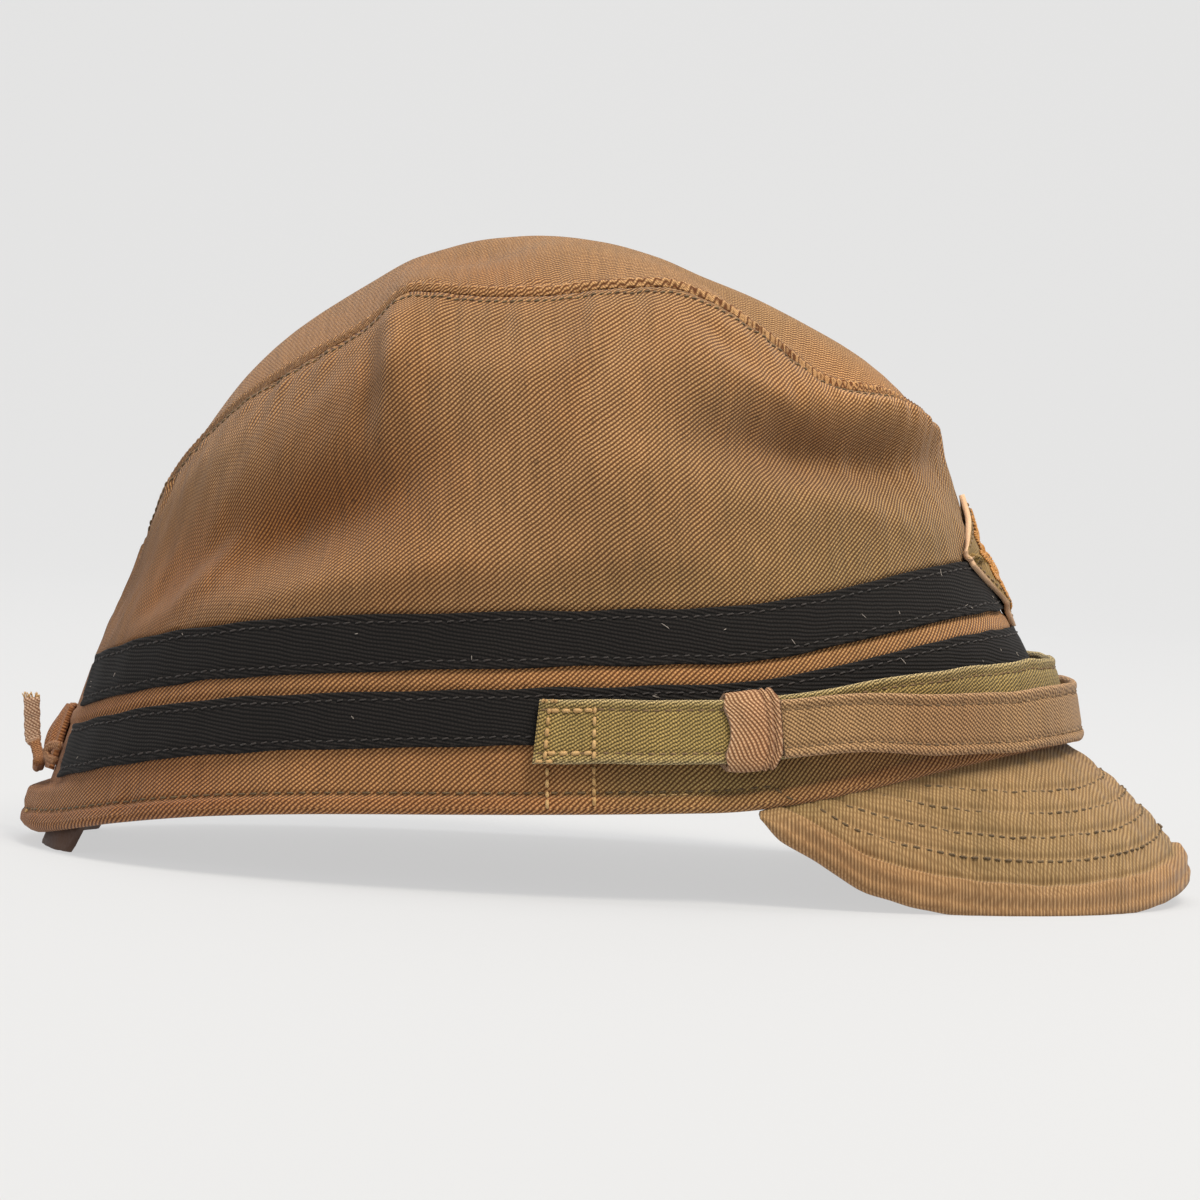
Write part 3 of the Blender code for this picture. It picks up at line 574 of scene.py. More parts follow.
def noise(
    tree: bpy.types.NodeTree, place: bpy.types.NodeSocket, scale: float, detail: float, roughness: float = 0.5
) -> bpy.types.NodeSocket:
    """Adds a noise texture and returns its strength."""
    inputs = {"Vector": place, "Scale": scale, "Detail": detail, "Roughness": roughness}
    return add_node(tree, "TexNoise", inputs).outputs[0]


def in_mm(tree: bpy.types.NodeTree, place: bpy.types.NodeSocket) -> bpy.types.NodeSocket:
    """Turns a place in metres into one in millimetres."""
    return add_node(tree, "VectorMath", {0: place, 3: 1 / MM}, operation="SCALE").outputs[0]


def blend_colour(tree: bpy.types.NodeTree, share, low, high, mode: str = "MIX") -> bpy.types.NodeSocket:
    """Adds a colour Mix node and returns its result. share, low and high are sockets or values."""
    inputs = {0: share, 6: low, 7: high}
    node = add_node(tree, "Mix", inputs, data_type="RGBA", blend_type=mode, clamp_factor=True)
    return node.outputs[2]


def add_bump(
    tree: bpy.types.NodeTree, height: bpy.types.NodeSocket, relief_mm: float, strength: float = 1.0
) -> bpy.types.NodeSocket:
    """Adds a bump of a relief in millimetres and returns its normal."""
    inputs = {"Height": height, "Distance": relief_mm * MM, "Strength": strength}
    return add_node(tree, "Bump", inputs).outputs[0]


def new_material(name: str) -> tuple[bpy.types.Material, bpy.types.NodeTree, bpy.types.Node]:
    """Makes a material with nodes, and returns it with its node tree and its shader."""
    material = bpy.data.materials.new(name)
    material.use_nodes = True
    return material, material.node_tree, material.node_tree.nodes["Principled BSDF"]


@dataclass(frozen=True)
class WovenFinish:
    """Piece-dyed cotton twill: diagonal ribs of short yarn floats, dull, softened and faded by wear.

    The pattern follows the piece's UV map, which holds metres along the cloth, so a rib's spacing is its real
    one. The colours are those of a rib's crest, of the gap beside it, of cloth that has browned and of cloth
    that has kept its green. The tone attribute says how light, how warm and how worn each place is; its light
    and warm also carry painted shade and painted highlights.
    """

    name: str
    crest: str
    gap: str
    brown: str
    green: str
    worn: str
    rib_mm: float = 0.80
    rise: float = 38.0
    float_mm: float = 0.75
    relief_mm: float = 0.20
    rib_contrast: float = 1.0
    cross_share: float = 0.0
    unevenness: float = 0.35
    roughness: float = 0.92
    sheen: float = 0.12

    def thread(self, tree: bpy.types.NodeTree, on_cloth: bpy.types.NodeSocket) -> bpy.types.NodeSocket:
        """The height of the woven yarns, from 0 in the gaps to 1 on the floats of the ribs."""
        sway = noise(tree, on_cloth, 0.09, 2.0)
        inputs = {"Vector": on_cloth, "Angle": -math.radians(self.rise)}
        turned = add_node(tree, "VectorRotate", inputs, rotation_type="Z_AXIS").outputs[0]
        parts = add_node(tree, "SeparateXYZ", {0: turned})
        across = calc(tree, "MULTIPLY_ADD", sway, 1.6 * self.rib_mm, parts.outputs[1])
        phase = calc(tree, "DIVIDE", across, self.rib_mm)
        number = calc(tree, "FLOOR", phase)
        rib = calc(tree, "MULTIPLY", calc(tree, "PINGPONG", phase, 0.5), 2.0)
        rib = ramp(tree, rib, 0.08, 0.85, interpolation_type="SMOOTHSTEP")
        run = calc(tree, "DIVIDE", parts.outputs[0], self.float_mm)
        floats = calc(tree, "PINGPONG", calc(tree, "MULTIPLY_ADD", number, 0.37, run), 0.5)
        floats = ramp(tree, floats, 0.0, 0.34, interpolation_type="SMOOTHSTEP")
        cross = calc(tree, "PINGPONG", calc(tree, "DIVIDE", parts.outputs[0], self.rib_mm), 0.5)
        cross = calc(tree, "MULTIPLY", calc(tree, "MULTIPLY", cross, 2.0), self.cross_share)
        rib = calc(tree, "ADD", calc(tree, "MULTIPLY", rib, 1 - self.cross_share), cross)
        return calc(tree, "MULTIPLY", rib, calc(tree, "MULTIPLY_ADD", floats, 0.50, 0.50))

    def material(self) -> bpy.types.Material:
        """Builds the cloth's material."""
        material, tree, shader = new_material(self.name)
        on_cloth = in_mm(tree, add_node(tree, "UVMap").outputs[0])
        thread = self.thread(tree, on_cloth)
        fuzz = noise(tree, on_cloth, 2.2, 4.0, 0.7)
        tone = add_node(tree, "Attribute", attribute_name="tone")
        split = add_node(tree, "SeparateColor", {0: tone.outputs["Color"]})
        patchy = calc(tree, "SUBTRACT", noise(tree, on_cloth, 0.035, 5.0, 0.62), 0.5)
        warm = calc(tree, "MULTIPLY_ADD", patchy, self.unevenness, split.outputs[1])
        body = blend_colour(tree, ramp(tree, warm, 0.5, 1.0), linear(self.crest), linear(self.brown))
        body = blend_colour(tree, ramp(tree, warm, 0.5, 0.0), body, linear(self.green))
        body = blend_colour(tree, calc(tree, "MULTIPLY", split.outputs[2], 0.75), body, linear(self.worn))
        in_gap = calc(tree, "MULTIPLY", calc(tree, "SUBTRACT", 1.0, thread), self.rib_contrast)
        gap_colour = blend_colour(tree, 1.0, body, linear(self.gap), "MULTIPLY")
        body = blend_colour(tree, in_gap, body, gap_colour)
        inputs = {0: on_cloth, 1: (1.3, 0.10, 1.0)}
        stretched = add_node(tree, "VectorMath", inputs, operation="MULTIPLY").outputs[0]
        yarns = noise(tree, stretched, 0.55, 3.0)
        fleck = ramp(tree, noise(tree, on_cloth, 0.62, 2.0), 0.24, 0.34, 0.62, 1.0)
        level = calc(tree, "MULTIPLY_ADD", calc(tree, "SUBTRACT", yarns, 0.5), 0.50, 0.5)
        level = calc(tree, "ADD", level, calc(tree, "MULTIPLY", patchy, self.unevenness))
        level = calc(tree, "ADD", level, split.outputs[0])
        level = calc(tree, "MULTIPLY", level, calc(tree, "MULTIPLY_ADD", fuzz, 0.8, 0.62))
        level = calc(tree, "MULTIPLY", level, fleck)
        grey = add_node(tree, "CombineColor", {0: level, 1: level, 2: level}).outputs[0]
        fill_inputs(tree, shader, {
            "Base Color": blend_colour(tree, 1.0, body, grey, "MULTIPLY"),
            "Normal": add_bump(tree, calc(tree, "MULTIPLY_ADD", fuzz, 0.30, thread), self.relief_mm),
            "Roughness": self.roughness,
            "Sheen Weight": self.sheen,
            "Sheen Roughness": 0.5,
            "Specular IOR Level": 0.25,
        })
        return material


@dataclass(frozen=True)
class ThreadFinish:
    """Spun cotton sewing thread or cord: two plies whose twist shows as a fine slant along it."""

    name: str
    colour: str
    shade: str
    ply_mm: float = 0.5
    roughness: float = 0.75
    sheen: float = 0.10

    def material(self) -> bpy.types.Material:
        """Builds the thread's material."""
        material, tree, shader = new_material(self.name)
        place = in_mm(tree, add_node(tree, "TexCoord").outputs["Object"])
        plies = noise(tree, place, 1.0 / self.ply_mm, 2.0)
        patchy = noise(tree, place, 0.12, 3.0)
        share = calc(tree, "MULTIPLY_ADD", patchy, 0.8, calc(tree, "MULTIPLY", plies, 0.6))
        share = calc(tree, "SUBTRACT", share, 0.35)
        fill_inputs(tree, shader, {
            "Base Color": blend_colour(tree, share, linear(self.shade), linear(self.colour)),
            "Normal": add_bump(tree, plies, 0.12, 0.8),
            "Roughness": self.roughness,
            "Sheen Weight": self.sheen,
        })
        return material


@dataclass(frozen=True)
class LeatherFinish:
    """Vegetable-tanned sheepskin of an inner band: dark brown, rubbed dull, with a fine pebbled grain."""

    name: str
    colour: str
    shade: str
    grain_mm: float = 0.9
    roughness: float = 0.55

    def material(self) -> bpy.types.Material:
        """Builds the leather's material."""
        material, tree, shader = new_material(self.name)
        place = in_mm(tree, add_node(tree, "TexCoord").outputs["Object"])
        grain = add_node(tree, "TexVoronoi", {"Vector": place, "Scale": 1.0 / self.grain_mm}).outputs[0]
        rubbed = noise(tree, place, 0.10, 5.0)
        fill_inputs(tree, shader, {
            "Base Color": blend_colour(tree, rubbed, linear(self.shade), linear(self.colour)),
            "Roughness": ramp(tree, rubbed, 0.0, 1.0, self.roughness, 0.85),
            "Normal": add_bump(tree, grain, 0.12, 0.7),
        })
        return material


# Khaki cotton twill, faded by sun: browner where it was handled, greener where a strap or fold kept the light
# off, and browner and darker where painted shade lies in the hollows of folds. The peak's ribs run nearly
# straight out from the band and are softened by its quilting.
CROWN_TWILL = WovenFinish("khaki_twill_crown", "#B88E5E", "#785C44", "#B27436", "#A78D5A", "#D2A878")
BAND_TWILL = WovenFinish(
    "khaki_twill_band", "#C08E5A", "#765A42", "#B47642", "#A48C58", "#DAAA78",
    rise=42.0,
)
PEAK_TWILL = WovenFinish(
    "khaki_twill_peak", "#AE8B60", "#8F7A62", "#AA7A4E", "#9C8858", "#C89C70",
    rib_mm=0.70, rise=84.0, relief_mm=0.12, rib_contrast=0.75,
)
# Dyed black cotton tape with fine ribs that run almost level.
BLACK_TAPE = WovenFinish(
    "black_twill_tape", "#211C19", "#4C4744", "#241C19", "#1D1A18", "#463E38",
    rise=-11.0, relief_mm=0.15, unevenness=0.12, roughness=0.85, sheen=0.03,
)
# Olive green cloth of a finer, plainer weave, with pale flecks where the dye has rubbed off the crossings.
# Its ribs are drawn 0.68 mm apart, coarser than the real 0.52 mm, so that they hold at the render's size.
GREEN_CLOTH = WovenFinish(
    "olive_green_cloth", "#C8AA66", "#383220", "#B89458", "#B0A258", "#EAD7A8",
    rib_mm=0.68, rise=29.0, float_mm=0.6, cross_share=0.28, relief_mm=0.18, unevenness=0.30,
)
# Tan cloth of the other half, smoother and redder, with fine ribs that slope the other way.
TAN_CLOTH = WovenFinish(
    "tan_cloth", "#C89E6E", "#57432F", "#BE885A", "#B29666", "#E0B88E",
    rib_mm=0.72, rise=-38.0, float_mm=0.6, cross_share=0.28, relief_mm=0.13, unevenness=0.30,
)
# Paler twill of the loop, cut the other way, so that its ribs stand steep and its folds rub pale.
KEEPER_CLOTH = WovenFinish(
    "tan_twill_loop", "#D0A67C", "#8C705C", "#C08C62", "#BA9C72", "#EECBA8",
    rise=-56.0,
)
# Plain khaki cloth under the needlework, flat and even, and soft pale cloth of the tie, frayed at its end.
PATCH_CLOTH = WovenFinish(
    "khaki_patch_cloth", "#AA8C50", "#8E7E60", "#A4773E", "#8B8049", "#C6A568",
    rib_mm=0.60, rise=45.0, cross_share=0.5, relief_mm=0.08, unevenness=0.20,
)
TIE_CLOTH = WovenFinish(
    "pale_tie_cloth", "#B98557", "#8E705A", "#AA7042", "#A8845A", "#F0D3B6",
    rib_mm=0.60, rise=60.0, cross_share=0.3, relief_mm=0.12, unevenness=0.30,
)
# Threads: a pale whipped edge, dull sewing threads that sink into the cloth, and softly shining gold thread.
CUT_EDGE = ThreadFinish("patch_cut_edge", "#EBC8A4", "#CFA27A", ply_mm=0.35)
BROWN_THREAD = ThreadFinish("brown_sewing_thread", "#7A6038", "#4C3B24")
PALE_THREAD = ThreadFinish("pale_sewing_thread", "#DDB87E", "#A9804A")
BLACK_THREAD = ThreadFinish("black_sewing_thread", "#3F3530", "#1C1815")
TAN_THREAD = ThreadFinish("tan_sewing_thread", "#8F7048", "#685036")
GOLD_THREAD = ThreadFinish("gold_embroidery_thread", "#D8963E", "#A8702A", roughness=0.45, sheen=0.25)
# Pale fibres caught on the black tapes, and the dark worn leather of the inner band.
LINT = ThreadFinish("lint", "#B9AFA5", "#8C8076")
DARK_LEATHER = LeatherFinish("dark_sweat_leather", "#5A3C28", "#33211A")


@dataclass
class Bench:
    """Where finished meshes become pieces of the cap."""

    materials: dict[str, bpy.types.Material] = field(default_factory=dict)

    def dress(self, finish: WovenFinish | ThreadFinish | LeatherFinish) -> bpy.types.Material:
        """The material of a finish, built the first time that a piece asks for it."""
        if finish.name not in self.materials:
            self.materials[finish.name] = finish.material()
        return self.materials[finish.name]

    def piece(
        self, name: str, work: bmesh.types.BMesh, finishes: Sequence, slot: str, node: str = ""
    ) -> bpy.types.Object:
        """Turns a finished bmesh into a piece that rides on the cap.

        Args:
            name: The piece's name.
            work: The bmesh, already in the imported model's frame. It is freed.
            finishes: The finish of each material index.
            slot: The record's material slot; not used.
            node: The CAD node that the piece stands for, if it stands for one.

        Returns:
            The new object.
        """
        mesh = bpy.data.meshes.new(name)
        work.to_mesh(mesh)
        work.free()
        mesh.shade_smooth()
        for finish in finishes:
            mesh.materials.append(self.dress(finish))
        made = bpy.data.objects.new(name, mesh)
        bpy.context.scene.collection.objects.link(made)
        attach(made, "root")
        if node:
            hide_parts(node)
        LOG.info("%s: %d faces", name, len(mesh.polygons))
        return made


def grid_mesh(
    columns: Array, rows: Array, surface: Surface, tone: Callable[[Array, Array, Array], Array],
    closed_columns: bool = False, closed_rows: bool = False, centre_column: int = 0,
    cut: Callable[[Array, Array], tuple[Array, Array]] | None = None,
) -> bmesh.types.BMesh:
    """Lays a grid of faces on a surface, with a UV map in metres along the cloth and the tone attribute.

    Args:
        columns: The surface's first coordinate at each column, anticlockwise seen from above.
        rows: Its second coordinate at each row, going up.
        surface: Gives the points, in the cap's frame, for arrays of both coordinates.
        tone: Gives light, warm and wear for arrays of both coordinates and of the points.
        closed_columns: Whether the last column meets the first one.
        closed_rows: Whether the last row meets the first one.
        centre_column: The column from which the UV map measures along the cloth.
        cut: Turns the lengths along and up the cloth into the places where its threads lie, if they don't
            simply follow the grid.

    Returns:
        The bmesh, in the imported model's frame.
    """
    work = bmesh.new()
    bmesh.ops.create_grid(work, x_segments=len(columns) - 1, y_segments=len(rows) - 1, size=0.5)
    spots = np.array([vert.co for vert in work.verts])
    i = np.rint((spots[:, 0] + 0.5) * (len(columns) - 1)).astype(int)
    j = np.rint((spots[:, 1] + 0.5) * (len(rows) - 1)).astype(int)
    first, second = np.meshgrid(columns, rows)
    points = surface(first, second)
    tones = np.clip(tone(first, second, points) * [0.5, 0.5, 1.0] + [0.5, 0.5, 0.0], 0.0, 1.0)
    steps = np.linalg.norm(np.diff(points, axis=1), axis=-1)
    along = np.concatenate([np.zeros((len(rows), 1)), np.cumsum(steps, axis=1)], axis=1)
    along -= along[:, centre_column : centre_column + 1]
    steps = np.linalg.norm(np.diff(points, axis=0), axis=-1)
    up = np.concatenate([np.zeros((1, len(columns))), np.cumsum(steps, axis=0)], axis=0)
    if cut is not None:
        along, up = cut(along, up)
    placed = to_row(points)[j, i]
    cloth = np.stack([along, up], axis=-1)[j, i]
    shades = tones[j, i]
    uv = work.loops.layers.uv.new("UVMap")
    layer = work.verts.layers.float_color.new("tone")
    for vert, point, shade in zip(work.verts, placed, shades):
        vert.co = point
        vert[layer] = (*shade, 1.0)
    for face in work.faces:
        for loop in face.loops:
            loop[uv].uv = cloth[loop.vert.index]
    if closed_columns or closed_rows:
        bmesh.ops.remove_doubles(work, verts=work.verts, dist=1e-7)
    return work


# How fast the threads of a side panel turn steeper with the cube of the distance from its middle.
REAR_PULL = 37.0
FRONT_PULL = 3.0


def straight_cut(along: Array, up: Array) -> tuple[Array, Array]:
    """Lets all rows share their mean length, so that the threads cross a ring at the same slope all round."""
    return np.broadcast_to(along.mean(axis=0), along.shape), up


def side_cut(along: Array, up: Array) -> tuple[Array, Array]:
    """Turns the threads of a side panel steeper towards its ends, most of all at the rear."""
    return along, up - np.where(along < 0, REAR_PULL, FRONT_PULL) * along**3


def cap_ends(work: bmesh.types.BMesh) -> None:
    """Closes the open ends of a sleeve and turns all its faces outwards."""
    bmesh.ops.holes_fill(work, edges=[edge for edge in work.edges if edge.is_boundary], sides=0)
    bmesh.ops.recalc_face_normals(work, faces=work.faces)


def wall_section(heights: Array, wall: float, back_rows: int, arc_steps: int = 5) -> tuple[Array, Array]:
    """The closed section of a cloth wall with round edges, as heights and depths.

    Args:
        heights: The heights of the rows on its outside, from its lower edge to its upper one.
        wall: Its thickness.
        back_rows: How many rows its inside has.
        arc_steps: How many steps each round edge has.

    Returns:
        The height and the depth below the outside of each row, the first one repeated at the end.
    """
    radius = wall / 2
    bends = np.linspace(0.0, math.pi, arc_steps + 1)[1:-1]
    back = np.linspace(heights[-1] - radius, heights[0] + radius, back_rows)
    front = np.clip(heights, heights[0] + radius, heights[-1] - radius)
    top = heights[-1] - radius + radius * np.sin(bends)
    low = heights[0] + radius - radius * np.sin(bends)
    turn = radius - radius * np.cos(bends)
    up = np.concatenate([front, top, back, low, front[:1]])
    depth = np.concatenate([np.zeros(len(front)), turn, np.full(back_rows, wall), turn[::-1], [0.0]])
    return up, depth


def add_thread(work: bmesh.types.BMesh, path: Array, radius: float, sides: int = 5) -> None:
    """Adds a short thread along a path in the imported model's frame, with pointed closed ends."""
    count = len(path)
    made = bmesh.ops.create_grid(work, x_segments=count - 1, y_segments=sides, size=0.5)["verts"]
    tangent = unit(np.gradient(path, axis=0))
    helper = np.array([0.0, 1.0, 0.0]) if abs(tangent[0][1]) < 0.8 else np.array([1.0, 0.0, 0.0])
    across = unit(np.cross(tangent, helper))
    over = np.cross(tangent, across)
    taper = np.sqrt(np.clip(1.0 - np.linspace(-1.0, 1.0, count) ** 6, 0.0, 1.0))
    for vert in made:
        i = round((vert.co.x + 0.5) * (count - 1))
        turn = math.tau * (round((vert.co.y + 0.5) * sides) % sides) / sides
        vert.co = path[i] + radius * taper[i] * (across[i] * math.cos(turn) + over[i] * math.sin(turn))


def finish_threads(work: bmesh.types.BMesh) -> None:
    """Closes the threads of a bmesh and turns their faces outwards."""
    bmesh.ops.remove_doubles(work, verts=work.verts, dist=1e-7)
    bmesh.ops.recalc_face_normals(work, faces=work.faces)


@dataclass(frozen=True)
class StitchRow:
    """One row of machine or hand stitches along a line on a surface."""

    surface: Surface
    first: Array
    second: Array
    pitch_mm: float = 2.4
    cover: float = 0.72
    radius_mm: float = 0.24
    sink: float = 0.15
    bow: float = 0.9
    slant_mm: float = 0.0
    seed: int = 0

    def sew(self, work: bmesh.types.BMesh) -> None:
        """Adds the row's stitches to a bmesh."""
        step = 1e-4
        points = self.surface(self.first, self.second)
        ahead = unit(np.gradient(points, axis=0))
        beside = self.surface(self.first + step, self.second) - self.surface(self.first - step, self.second)
        above = self.surface(self.first, self.second + step) - self.surface(self.first, self.second - step)
        normal = unit(np.cross(beside, above))
        run = np.concatenate([[0.0], np.cumsum(np.linalg.norm(np.diff(points, axis=0), axis=-1))])
        rng = np.random.default_rng(self.seed)
        count = max(int(run[-1] / (self.pitch_mm * MM)), 1)
        pitch = run[-1] / count
        radius = self.radius_mm * MM
        shares = np.linspace(-1.0, 1.0, 6)
        for k in range(count):
            length = pitch * self.cover * rng.uniform(0.9, 1.08)
            places = (k + 0.5 + rng.uniform(-0.04, 0.04)) * pitch + shares * length / 2
            at = np.clip(places, 0.0, run[-1])
            on = np.stack([np.interp(at, run, points[:, a]) for a in range(3)], axis=-1)
            out = unit(np.stack([np.interp(at, run, normal[:, a]) for a in range(3)], axis=-1))
            forward = unit(np.stack([np.interp(at, run, ahead[:, a]) for a in range(3)], axis=-1))
            lift = radius * (self.bow * (1 - shares**2) - self.sink - 0.5 * shares**6)
            aside = np.cross(out, forward) * (shares * self.slant_mm * MM / 2)[:, None]
            add_thread(work, to_row(on + lay(out, lift) + aside), radius * rng.uniform(0.9, 1.1))


def sew_rows(bench: Bench, name: str, rows: Sequence[StitchRow], finish: ThreadFinish, slot: str) -> None:
    """Makes one piece of several rows of stitches in the same thread."""
    work = bmesh.new()
    for row in rows:
        row.sew(work)
    finish_threads(work)
    bench.piece(name, work, [finish], slot)


@dataclass
class Crown:
    """The soft crown: two side panels and the top panel, whose seams stand up as a narrow rib."""

    shape: CapShape
    side_columns: int = 300
    side_rows: int = 96
    top_columns: int = 560
    top_rows: int = 36
    edge_rows: int = 9
    edge_zone: float = 0.055
    tip_angle: float = math.radians(4.0)
    rib_width: float = 0.0018
    rib_twist: float = 0.0019
    seam_pucker: float = 0.00075
    seam_pucker_reach: float = 0.0090
    band_pucker: float = 0.00022
    band_pucker_reach: float = 0.0050
    broad_unevenness: float = 0.00065
    fine_unevenness: float = 0.00020
    stitch_below: float = 0.0013
    rib_gain: float = 1.5
    edge_curl: float = 0.0008
    tip_tuck: float = 0.0018
    tip_gap: float = 0.0003
    tuck_under: float = 0.0010
    fold_gain: float = 1.80

    def side_surface(self, angle: Array, share: Array) -> Array:
        """Points of a side panel, from just above the band to just below the seam."""
        shape = self.shape
        _, span, _ = shape.wall_line(angle)
        length = np.linalg.norm(span, axis=-1)
        lowest = -self.tuck_under / length
        highest = 1 - (2 * shape.gap + self.tip_gap * np.cos(angle) ** 2) / length
        at = lowest + (highest - lowest) * share
        point, normal = shape.crown_side(angle, at)
        crease = shape.side_folds(point, angle, at, SIDE_CREASES) * self.fold_gain
        crease += shape.side_folds(point, angle, at, SIDE_FOLDS) * (self.fold_gain - 1)
        run = angle * shape.rim_length / 2
        from_top = (1 - at) * length
        from_band = at * length
        near_top = np.exp(-from_top / self.seam_pucker_reach) * smooth_step(from_top / 0.0015)
        near_band = np.exp(-from_band / self.band_pucker_reach) * smooth_step(from_band / 0.0010)
        relief = crease + self.seam_pucker * near_top * ripple(run, 0.15 * from_top, 0.0075, 21)
        relief += self.band_pucker * near_band * ripple(run, 0.2 * from_band, 0.0080, 22)
        tucked = 1 - smooth_step((from_band + self.tuck_under) / (2 * self.tuck_under))
        relief -= 0.9 * self.tuck_under * tucked
        inside = smooth_step(from_top / 0.012) * smooth_step(from_band / 0.010)
        relief += self.broad_unevenness * inside * ripple(run, from_band, 0.030, 23)
        relief += self.fine_unevenness * inside * ripple(run, from_band, 0.011, 24)
        point = point + lay(normal, relief)
        half_gap = shape.gap / 2
        side = np.where(np.sin(np.mean(angle)) > 0, 1.0, -1.0)
        point[..., 1] = side * np.maximum(point[..., 1] * side, half_gap)
        return point

    def side_tone(self, angle: Array, share: Array, point: Array) -> Array:
        """Light, warm and wear of a side panel: painted shade, darker and browner, in the hollows of its folds,
        a painted highlight on their ridges, and rubbed wear on the ridges and near the band.
        """
        tone = self.shape.tone(point)
        folds = self.shape.side_folds(point, angle, share, SIDE_FOLDS) / self.shape.fullness
        # Painted shade in the fold hollows and a painted highlight on the ridges; the hollows are painted
        # browner too.
        tone[..., 0] += 0.34 * np.clip(folds, -0.6, 0.4)
        tone[..., 1] += 0.30 * np.clip(-folds, 0.0, 0.6)
        tone[..., 2] = 0.5 * np.clip(folds - 0.1, 0.0, 1.0) + 0.12 * np.exp(-share / 0.03)
        return tone

    def rib(self, angle: Array, across: Array) -> Array:
        """How far the seam's rib stands up, twisted like a cord by its stitches."""
        edge = self.shape.seam_point(angle)
        inside = (1 - np.abs(across)) * np.abs(edge[..., 1])
        run = angle * self.shape.panel_length / 2
        twist = 0.87 + 0.13 * np.cos(math.tau * (run * np.sign(across) - 0.9 * inside) / self.rib_twist)
        at_tips = smooth_step((np.abs(np.sin(angle)) - 0.08) / 0.20)
        raised = smooth_step((self.rib_width + 0.0003 - inside) / 0.0006)
        round_off = 0.45 + 0.55 * smooth_step(inside / 0.0008)
        return self.rib_gain * self.shape.seam_rib * raised * round_off * twist * at_tips

    def top_surface(self, angle: Array, across: Array) -> Array:
        """Points of the top panel."""
        point = self.shape.top_point(angle, across)
        edge = self.shape.seam_point(angle)
        inside = (1 - np.abs(across)) * np.abs(edge[..., 1])
        away = smooth_step((inside - self.rib_width) / 0.002)
        run = angle * self.shape.panel_length / 2
        relief = 0.8 * self.seam_pucker * away * np.exp(-inside / 0.008)
        relief *= ripple(run, 0.2 * inside, 0.008, 31)
        relief += self.broad_unevenness * away * ripple(point[..., 0], point[..., 1], 0.028, 32)
        relief -= 0.00025 * bell(inside - self.rib_width - 0.0005, 0.0005)
        curl = self.edge_curl * (1 - smooth_step(inside / self.edge_curl))
        tuck = self.tip_tuck * (1 - smooth_step(np.abs(np.sin(angle)) / 0.30))
        point[..., 2] += relief + self.rib(angle, across) - curl - tuck
        point[..., 0] -= np.sign(np.cos(angle)) * tuck
        return point

    def top_tone(self, angle: Array, across: Array, point: Array) -> Array:
        """Light, warm and wear of the top panel: the whole panel is painted paler as light from above, and its
        ribs are rubbed pale and brown and painted paler still as light on the seam.
        """
        tone = self.shape.tone(point)
        rib = self.rib(angle, across) / self.shape.seam_rib
        # Painted light: the whole top is paler as if lit from above, and the ribs paler still, partly from
        # rubbing and partly as painted light.
        tone[..., 0] += 0.10 + 0.12 * rib
        tone[..., 1] += 0.10 * rib
        tone[..., 2] = 0.30 * np.clip(rib - 0.4, 0.0, 1.0)
        return tone

    def build(self, bench: Bench) -> None:
        """Makes the three panels and the stitches of their seams."""
        for side, node in ((Side.RIGHT, "crown_right"), (Side.LEFT, "crown_left")):
            ends = (-math.pi, 0.0) if side is Side.RIGHT else (0.0, math.pi)
            columns = np.linspace(*ends, self.side_columns + 1)
            rows = np.linspace(0.0, 1.0, self.side_rows + 1)
            middle = self.side_columns // 2
            surface, tone = self.side_surface, self.side_tone
            work = grid_mesh(columns, rows, surface, tone, centre_column=middle, cut=side_cut)
            panel = bench.piece(node + "_panel", work, [CROWN_TWILL], "crown_twill", node)
            give_wall(panel, self.shape.crown_wall)
        inner = np.linspace(1 - self.edge_zone, -1 + self.edge_zone, self.top_rows + 1)
        edge = np.linspace(1.0, 1 - self.edge_zone, self.edge_rows + 1)[:-1]
        rows = np.concatenate([edge, inner, -edge[::-1]])
        columns = np.linspace(self.tip_angle, math.pi - self.tip_angle, self.top_columns + 1)
        work = grid_mesh(columns, rows, self.top_surface, self.top_tone, centre_column=self.top_columns // 2)
        panel = bench.piece("crown_top_panel", work, [CROWN_TWILL], "crown_twill", "crown_top")
        give_wall(panel, self.shape.crown_wall)
        self.sew(bench)

    def sew(self, bench: Bench) -> None:
        """Makes the rows of brown stitches below the ribs."""
        rows = []
        for side in Side:
            angle = side.value * np.linspace(math.radians(17), math.radians(168), 700)
            angle = angle[::-1] if side is Side.RIGHT else angle
            length = np.linalg.norm(self.shape.wall_line(angle)[1], axis=-1)
            share = 1 - self.stitch_below / length
            looks = {"pitch_mm": 1.7, "radius_mm": 0.22, "slant_mm": 0.5, "seed": 5}
            rows.append(StitchRow(self.side_surface, angle, share, **looks))
        sew_rows(bench, "crown_seam_stitches", rows, BROWN_THREAD, "crown_twill")


def give_wall(piece: bpy.types.Object, thickness: float, edge_material: int = 0) -> None:
    """Gives an open sheet its thickness inwards, with a material offset for its cut edge."""
    wall = piece.modifiers.new("wall", "SOLIDIFY")
    wall.thickness = thickness
    wall.offset = -1.0
    wall.use_even_offset = False
    wall.material_offset_rim = edge_material


